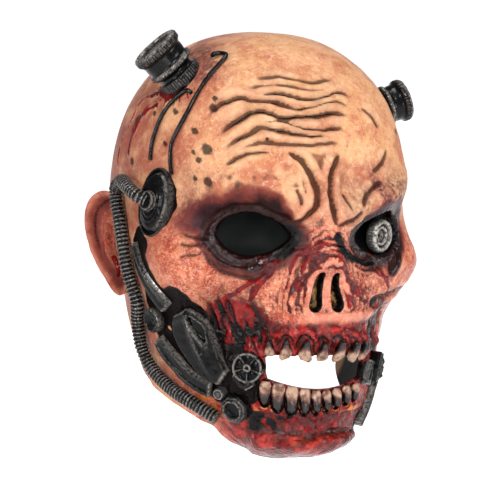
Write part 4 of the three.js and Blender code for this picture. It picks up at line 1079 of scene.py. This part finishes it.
def dial(name, node, frame4, radius, height, foot=-3, across=1., rings=46, sides=180, paint=GUN,
         left=False, edge=None):
    """Round piece: radius(angle), and height(share, angle) over its face, with a skirt down to foot."""
    a = np.linspace(0, 2 * np.pi, sides, endpoint=False)[None]
    s = np.linspace(.01, 1, rings)[:, None]
    wide = radius(a)
    top = height(s, a) + 0 * a
    wear_and_highlight = worn_and_lit(top) if edge is None else edge(s, a) + 0 * a
    x, y = s * wide * np.cos(a) * across, s * wide * np.sin(a)
    skirt = [(1.0, -.8), (1.0, (foot + top[-1].min()) / 2), (1.0, foot)]
    xs = np.vstack([x] + [x[-1:] * k for k, _ in skirt])
    ys = np.vstack([y] + [y[-1:] * k for k, _ in skirt])
    hs = np.vstack([top, top[-1:] + skirt[0][1], 0 * top[-1:] + skirt[1][1], 0 * top[-1:] + foot])
    p = np.stack([xs, ys, hs], -1)
    p = p + .1 * fractal(p, 3, 2)[..., None]
    masks = {"edge": np.vstack([wear_and_highlight, wear_and_highlight[-1:] * .6, 0 * wear_and_highlight[-1:], 0 * wear_and_highlight[-1:]])}
    finish_piece(name, node, place(frame4, p), lattice_faces(len(hs), sides, closed=True).tolist(), masks,
                 paint, left)


def on_head(points, height):
    """Points moved to that height over the head, straight out from it."""
    turn = np.degrees(np.arctan2(points[..., 0], -points[..., 1]))
    level = points[..., 2] - EQUATOR
    return head(turn, level) + head_normal(turn, level) * np.asarray(height)[..., None]


def panel(name, node, route, width, relief, across, each, left=False):
    """Plate along a route of turn, level share, width share; relief(along, aside, half) is its height."""
    rows = spline(np.array(route, float), each)
    turn, level, share = -rows[:, 0], level_of(rows[:, 1]), rows[:, 2]
    centre = head(turn, level)
    ahead = unit(np.gradient(centre, axis=0))
    aside = unit(np.cross(ahead, head_normal(turn, level)))
    half = share * width / 2
    u = np.linspace(0, 1, len(rows))[:, None]
    v = np.linspace(-1, 1, across)[None]
    v = np.sign(v) * np.abs(v) ** .8
    points = centre[:, None] + aside[:, None] * (v * half[:, None])[..., None]
    height = relief(u, v, half[:, None]) + 0 * u * v
    ends = np.minimum(smooth(0, .03, u), smooth(1, .97, u))
    height = height * ends - 2.2 * (1 - ends)
    height = np.where(np.abs(v) > .985, -2.5, height)
    p = on_head(points, height)
    p = p + .12 * fractal(p, 3, 4)[..., None]
    soft = height.copy()
    for _ in range(3):
        soft = (np.roll(soft, 1, 0) + np.roll(soft, -1, 0) + np.roll(soft, 1, 1) + np.roll(soft, -1, 1)) / 4
    edge = np.clip((height - soft) * 1.6, 0, 1)
    finish_piece(name, node, p, lattice_faces(len(rows), across).tolist(), {"edge": edge}, left=left)


def tube(name, node, points, radius, sides=20, ripple=None, paint=GUN):
    """Round tube along points, with a radius that ripple(length along it) adds to."""
    step = np.linalg.norm(np.diff(points, axis=0), axis=1)
    length = np.concatenate([[0], step.cumsum()])
    ahead = unit(np.gradient(points, axis=0))
    side = [unit(np.cross(ahead[0], [.3, .2, 1]))]
    for a in ahead[1:]:
        side.append(unit(side[-1] - a * (side[-1] @ a)))
    side = np.array(side)
    other = np.cross(ahead, side)
    a = np.linspace(0, 2 * np.pi, sides, endpoint=False)
    wide = radius + (ripple(length)[:, None] if ripple else 0) + .15 * noise(points, 4, 2)[:, None]
    wide = wide + 0 * a[None]
    ring = np.cos(a)[None, :, None] * side[:, None] + np.sin(a)[None, :, None] * other[:, None]
    verts = points[:, None] + ring * wide[..., None]
    edge = np.clip((wide - radius) * 2.5, 0, 1) if ripple else 0 * wide + .2
    faces = lattice_faces(len(points), sides, closed=True).tolist()
    faces += [list(range(sides))[::-1], [(len(points) - 1) * sides + i for i in range(sides)]]
    finish_piece(name, node, verts, faces, {"edge": edge}, paint)


def route_points(route, count):
    rows = spline(np.array(route, float), 12)
    turn, level, lift = rows[:, 0], level_of(rows[:, 1]), rows[:, 2]
    p = head(-turn, level) + head_normal(-turn, level) * lift[:, None]
    length = np.concatenate([[0], np.linalg.norm(np.diff(p, axis=0), axis=1).cumsum()])
    at = np.linspace(0, length[-1], count)
    p = np.stack([np.interp(at, length, p[:, k]) for k in range(3)], -1)
    for _ in range(6):
        p[1:-1] = (p[:-2] + 2 * p[1:-1] + p[2:]) / 4
    return p


HOSE = [(68.8, .026, 8.6), (72.5, .045, 11.5), (80, .08, 10), (87.4, .095, 6.5), (94.5, .043, 5),
        (90, -.08, 4.6), (86, -.19, 4.6), (84.2, -.302, 4.6), (83, -.4, 4.6), (86, -.5, 4.6),
        (86, -.6, 4.6), (79.5, -.677, 4.6),
        (66, -.735, 4.6), (50, -.78, 4.6), (38.5, -.825, 4)]
FRONT_WIRE = [(62.3, .66, -.5), (61, .662, 1.6), (54.5, .668, 1.6), (50.5, .648, 1.6), (54, .56, 1.6),
              (56.6, .47, 1.6),
              (58.4, .395, 1.6), (61.2, .32, 1.6), (62.8, .27, 1.6), (62.4, .207, 1.6), (61.8, .15, 1)]
REAR_WIRE = [(61, .475, -.5), (62, .48, 1.5), (63.4, .483, 1.6), (67.6, .453, 1.6), (71.8, .4, 1.6),
             (73.8, .325, 1.6),
             (74.4, .255, 1.6), (74.6, .2, 1)]
STRAP = [(80, -.15, .3), (75.5, -.225, .6), (71, -.3, .85), (67, -.36, 1), (63, -.405, .85)]
PLATE = [(56.8, -.408, .35), (55, -.435, .72), (52.5, -.487, 1), (47.2, -.563, .92), (41.8, -.622, .72),
         (35.5, -.668, .4)]
ARM = [(72.5, -.545, .8), (67, -.59, 1), (61, -.628, 1), (54, -.675, 1), (46, -.705, 1), (41, -.716, .9)]
LEFT_ARM = [(37.5, -.68, .8), (36.4, -.714, 1), (35, -.758, 1), (32.8, -.79, 1), (30.1, -.83, .9),
            (27.4, -.875, .6)]
BRACKET = [(32, -.635, .35), (28, -.655, .8), (25.5, -.69, .45)]
LEFT_BRACKET = [(26, -.592, .5), (24.2, -.64, .6), (23.4, -.69, .5)]
ELECTRODES = {
    # turn, level, lean, size
    "right": (75.8, .553, (.05, .28, .09), 1),
    "left": (85, .42, (0, -.05, -.1), .86)}


def edge_of(v, half, thick, bevel=1.6):
    """Height of a plate's rounded edge: full inside, and falling over the bevel."""
    inside = (1 - np.abs(v)) * half
    return thick * np.sqrt(np.clip(smooth(0, bevel, inside), 0, 1)) - 1.2 * smooth(.5, 0, inside)


def plate_relief(u, v, half):
    h = edge_of(v, half, 4.0, 2.2)
    ridge = v + .1 - .9 * (u - .4)
    h = h + 1.5 * bump(ridge, .12) * smooth(.1, .3, u) * smooth(.85, .5, u)
    h = h - 1.4 * smooth(-.1, .35, ridge) * smooth(.15, .3, u) * smooth(.95, .7, u)
    hole = np.hypot((u - .36 - .1 * (v + .6)) / .2, (v + .52) / .27)
    h = h - 3.2 * smooth(1.05, .8, hole)
    return h + .7 * bump(hole - 1.2, .12)


def arm_relief(u, v, half):
    h = edge_of(v, half, 4.4, 1.4)
    return h - 1.3 * smooth(.55, .3, np.abs(v + .05)) * smooth(.04, .12, u) * smooth(.95, .85, u)


def strap_relief(u, v, half):
    return edge_of(v, half, 3.2, 1.6) - 1.2 * bump(v - .1, .2) * smooth(.05, .3, u)


def bracket_relief(u, v, half):
    return (edge_of(v, half, 3.4, 1.2)
            - .8 * smooth(.5, .35, np.abs(v)) * smooth(.3, .4, u) * smooth(.8, .7, u))


def wheel_height(s, a):
    rim = smooth(.8, .86, s) * smooth(1.0, .97, s)
    spoke = np.clip(np.cos(5 * (a + .3)), 0, 1) ** 6 * smooth(.15, .3, s)
    hub = smooth(.3, .24, s) - .7 * smooth(.12, .08, s)
    dome = .45 * bump(s - .56, .12) * np.clip(-np.cos(5 * (a + .3)), 0, 1)
    return 3.4 + 2.6 * np.maximum(np.maximum(rim, spoke), hub) + dome


def rough_disc(s, a):
    p = np.stack([s * np.cos(a) * 9.5, s * np.sin(a) * 9.5, 0 * s * a], -1)
    return 5.3 + .8 * fractal(p, 2.6, 3) + .5 * np.sin(a + 14 * s) - 1.2 * smooth(.88, 1, s)


def nut_height(s, a):
    lip = bump(s - .66, .07)
    return 5.2 + 1.7 * lip - 2.0 * smooth(.6, .52, s) - 1.6 * smooth(.84, 1, s)


def nut_radius(a):
    corner = (a + .39) % (np.pi / 4) - np.pi / 8
    return 8.9 * np.cos(np.pi / 8) / np.cos(corner)


def hinge_height(s, a):
    knurl = .35 * np.clip(np.sin(26 * a) * 1.5, -1, 1) * bump(s - .9, .06)
    return (5.2 + knurl + .5 * bump(s - .8, .05) - 2.2 * smooth(.8, .1, s)
            + .9 * bump(s, .14) - .6 * smooth(.95, 1, s))


def disc_height(s, a):
    rim = 3.4 * smooth(1.0, .95, s)
    groove = -1.6 * bump(s - .84, .035)
    dome = 3.8 * np.sqrt(np.clip(1 - (s / .82) ** 2, 0, 1)) * (s < .82)
    rings = .1 * np.cos(s * 46) * smooth(.75, .55, s)
    return rim + groove + dome * .9 + rings


COLLAR = [(12.9, -9), (12.9, 2), (12.4, 2.4), (10.9, 2.9), (10.7, 5), (.1, 5)]
DRUM = [(.1, 5.2), (11, 5.2), (12.6, 6.2), (13.8, 7.2), (14, 8.4), (14, 9.6), (13.4, 10.2), (12.9, 10.8),
        (12.9, 12.4),
        (13.1, 13), (13.1, 16.6), (13.6, 17.6), (14.8, 19), (15, 19.8), (15, 22.4), (14.5, 23.6), (13.4, 24),
        (12.6, 23.9), (12.2, 23.2), (12, 22), (5, 21.7), (4.6, 22.3), (.1, 22.4)]
for side, (turn, level, lean, size) in ELECTRODES.items():
    left = side == "left"
    base = seat(-turn, float(level_of(level)), lean)
    lathe(f"collar_{side}", f"electrode_collar_{side}", base, [(r * size, h * size) for r, h in COLLAR],
          [(-3, 2.1 * size, 46, .35)], left=left)
    lathe(f"drum_{side}", f"electrode_drum_{side}", base, [(r * size, h * size) for r, h in DRUM],
          [(7 * size, 10 * size, 52, .4), (19 * size, 22.6 * size, 60, .22)],
          edges=[(8 * size, 9.4 * size), (22.6 * size, 24 * size)], left=left)
temple = seat(-68.4, .024 * ARC)
# painted highlight: a crescent on one side of the disc's ring, and a fainter one round its rim
dial("disc_right", "temple_disc_right", temple, lambda a: 21 + 0 * a, disc_height, -6, 26 / 42, 90, 200,
     edge=lambda s, a: 1.2 * bump(s - .8, .018) * np.clip(np.cos(a - .2), 0, 1) ** .5
     + .3 * bump(s - .97, .02))
lathe("hub_right", "temple_hub_right", temple,
      [(6.4, 2), (6.6, 3.6), (5.8, 4.6), (6.4, 5.6), (5.6, 6.6), (6.1, 7.6), (5.3, 8.6), (5.6, 9.6),
       (4.6, 10.4),
       (.1, 10.6)], edges=[(5.4, 5.8), (7.4, 7.8), (9.4, 9.8)])
dial("hinge_right", "hinge_disc_right", seat(-73, -.465 * CHIN), lambda a: 7.5 + 0 * a, hinge_height, -5)
dial("wheel_right_disc", "mouth_wheel_right", seat(-26.4, -.604 * CHIN), lambda a: 9 + 0 * a, wheel_height,
     rings=70, edge=lambda s, a: np.clip((wheel_height(s, a) - 4.5) / 1.5, 0, 1))
dial("wheel_left_disc", "mouth_wheel_left", seat(-33.5, -.63 * CHIN), lambda a: 9 + .2 * np.sin(5 * a),
     rough_disc, left=True)
dial("nut_right", "chin_nut_right", seat(-30.8, -.78 * CHIN), nut_radius, nut_height, -5,
     edge=lambda s, a: np.maximum(.9 * bump(s - .66, .05), .6 * bump(s - .86, .03)))
dial("bolt_right", "arm_bolt_right", seat(-37, -.722 * CHIN), lambda a: 3.3 + .1 * np.cos(6 * a),
     lambda s, a: 6 - 1.1 * bump(s - .55, .12) - .8 * smooth(.85, 1, s), -5, paint=STEEL,
     rings=20, sides=48)
panel("plate_right", "cheek_plate_right", PLATE, 27, plate_relief, 60, 14)
panel("bracket_right", "wheel_bracket_right", BRACKET, 15, bracket_relief, 36, 16)
panel("bracket_left", "wheel_bracket_left", LEFT_BRACKET, 15, bracket_relief, 36, 16, True)
panel("arm_right", "jaw_arm_right", ARM, 11, arm_relief, 36, 14)
panel("arm_left", "jaw_arm_left", LEFT_ARM, 11, arm_relief, 36, 14, True)
panel("strap_piece", "strap_right", STRAP, 14, strap_relief, 36, 12)
tube("hose_tube", "hose_right", route_points(HOSE, 1000), 3.75, 22,
     lambda x: .4 * np.cos(x * 2 * np.pi / 2.4))
tube("wire_front", "wire_front_right", route_points(FRONT_WIRE, 160), 1.2, 12, paint=WIRE)
tube("wire_rear", "wire_rear_right", route_points(REAR_WIRE, 110), 1.2, 12, paint=WIRE)


# Lens over the outer half of the left eye
def build_lens():
    a = math.radians(LENS_TURN)
    out = np.array([math.sin(a), -math.cos(a), 0])
    up = np.array([0, 0, 1.])
    base = (head(31., -.081 * CHIN), np.cross(up, out), up, out)
    lathe("lens_rim", "lens_ring_left", base,
          [(3.9, 1), (10, 1), (10, 4), (9.8, 5.2), (9.2, 6.4), (8.4, 7), (7.8, 6.9), (7.3, 6.2), (7, 3),
           (5.9, 2.8),
           (5.7, 5.2), (5.2, 5.8), (4.6, 5.6), (4, 4.6), (3.9, 1)],
          [(3.2, 5.8, 34, .12)], paint=STEEL, edges=[(5.6, 7)], sides=120)
    lathe("lens_middle", "lens_core_left", base, [(3.4, -6), (3.4, 3.8), (2.9, 4.4), (2.2, 4.2), (.1, 2.6)],
          paint=CORE, sides=64, edges=[(3.8, 4.4)])


build_lens()


# Floor, light and camera
def build_stage():
    mesh = bpy.data.meshes.new("floor")
    mesh.from_pydata([(-9, -9, 0), (9, -9, 0), (9, 9, 0), (-9, 9, 0)], [], [(0, 1, 2, 3)])
    floor = bpy.data.objects.new("floor", mesh)
    floor.location.z = -.5
    s = Paint("pale_floor")
    reach = s.tree.nodes.new("ShaderNodeVectorMath")
    reach.operation = "DOT_PRODUCT"
    reach.inputs[1].default_value = BEHIND
    s.put(reach.inputs[0], s.place)
    s.set(Base_Color=s.mix(colour(250, 250, 250), colour(246, 246, 246), s.noise(400)), Roughness=.9,
          Emission_Color=(1, 1, 1, 1), Emission_Strength=s.span(reach.outputs["Value"], .25, .85, .25, 1.))
    mesh.materials.append(s.material)
    bpy.context.scene.collection.objects.link(floor)
    world = bpy.data.worlds.new("studio")
    world.use_nodes = True
    tree = world.node_tree
    sky = tree.nodes["Background"]
    sky.inputs[0].default_value = (1, 1, 1, 1)
    way = tree.nodes.new("ShaderNodeTexCoord").outputs["Generated"]
    facing = tree.nodes.new("ShaderNodeVectorMath")
    facing.operation = "DOT_PRODUCT"
    facing.inputs[1].default_value = BEHIND
    wall = tree.nodes.new("ShaderNodeMapRange")
    wall.interpolation_type = "SMOOTHSTEP"
    for key, number in (("From Min", .88), ("From Max", .965), ("To Min", .16), ("To Max", 1.03)):
        wall.inputs[key].default_value = number
    tree.links.new(way, facing.inputs[0])
    tree.links.new(facing.outputs["Value"], wall.inputs["Value"])
    tree.links.new(wall.outputs["Result"], sky.inputs[1])
    bpy.context.scene.world = world
    middle = Vector((0, 0, -.12))
    for name, spot, size, power in (
            ("key", (-.5, -1.25, .85), .26, 16.5), ("left", (-1.35, -.5, .2), .26, 9),
            ("right", (1.1, -1.0, .15), .5, 9), ("top", (.15, 0, 1.5), .5, 11),
            ("low", (-.2, -1.4, -.35), .25, 4)):
        light = bpy.data.lights.new(name, "AREA")
        light.energy, light.size = power, size
        lamp = bpy.data.objects.new(name, light)
        lamp.location = spot
        lamp.rotation_euler = (middle - Vector(spot)).to_track_quat("-Z", "Y").to_euler()
        bpy.context.scene.collection.objects.link(lamp)


def build_camera():
    turn, rise, roll = (math.radians(x) for x in (VIEW_TURN, VIEW_RISE, VIEW_ROLL))
    away = np.array([-math.sin(turn) * math.cos(rise), -math.cos(turn) * math.cos(rise), math.sin(rise)])
    right = np.array([math.cos(turn), -math.sin(turn), 0])
    up = np.cross(away, right)
    right, up = right * math.cos(roll) + up * math.sin(roll), up * math.cos(roll) - right * math.sin(roll)
    target = np.array([0, 0, VIEW_MIDDLE]) - right * VIEW_RIGHT - up * VIEW_DOWN
    lens = bpy.data.cameras.new("camera")
    lens.lens, lens.sensor_width, lens.sensor_height, lens.sensor_fit = VIEW_LENS, 36, 36, "HORIZONTAL"
    camera = bpy.data.objects.new("camera", lens)
    rows = np.stack([right, up, away, (target + away * VIEW_AWAY) * .001], -1)
    camera.matrix_world = Matrix([list(r) for r in rows] + [[0, 0, 0, 1]])
    bpy.context.scene.collection.objects.link(camera)
    bpy.context.scene.camera = camera


build_stage()
build_camera()
bpy.context.scene.view_settings.view_transform = "Standard"
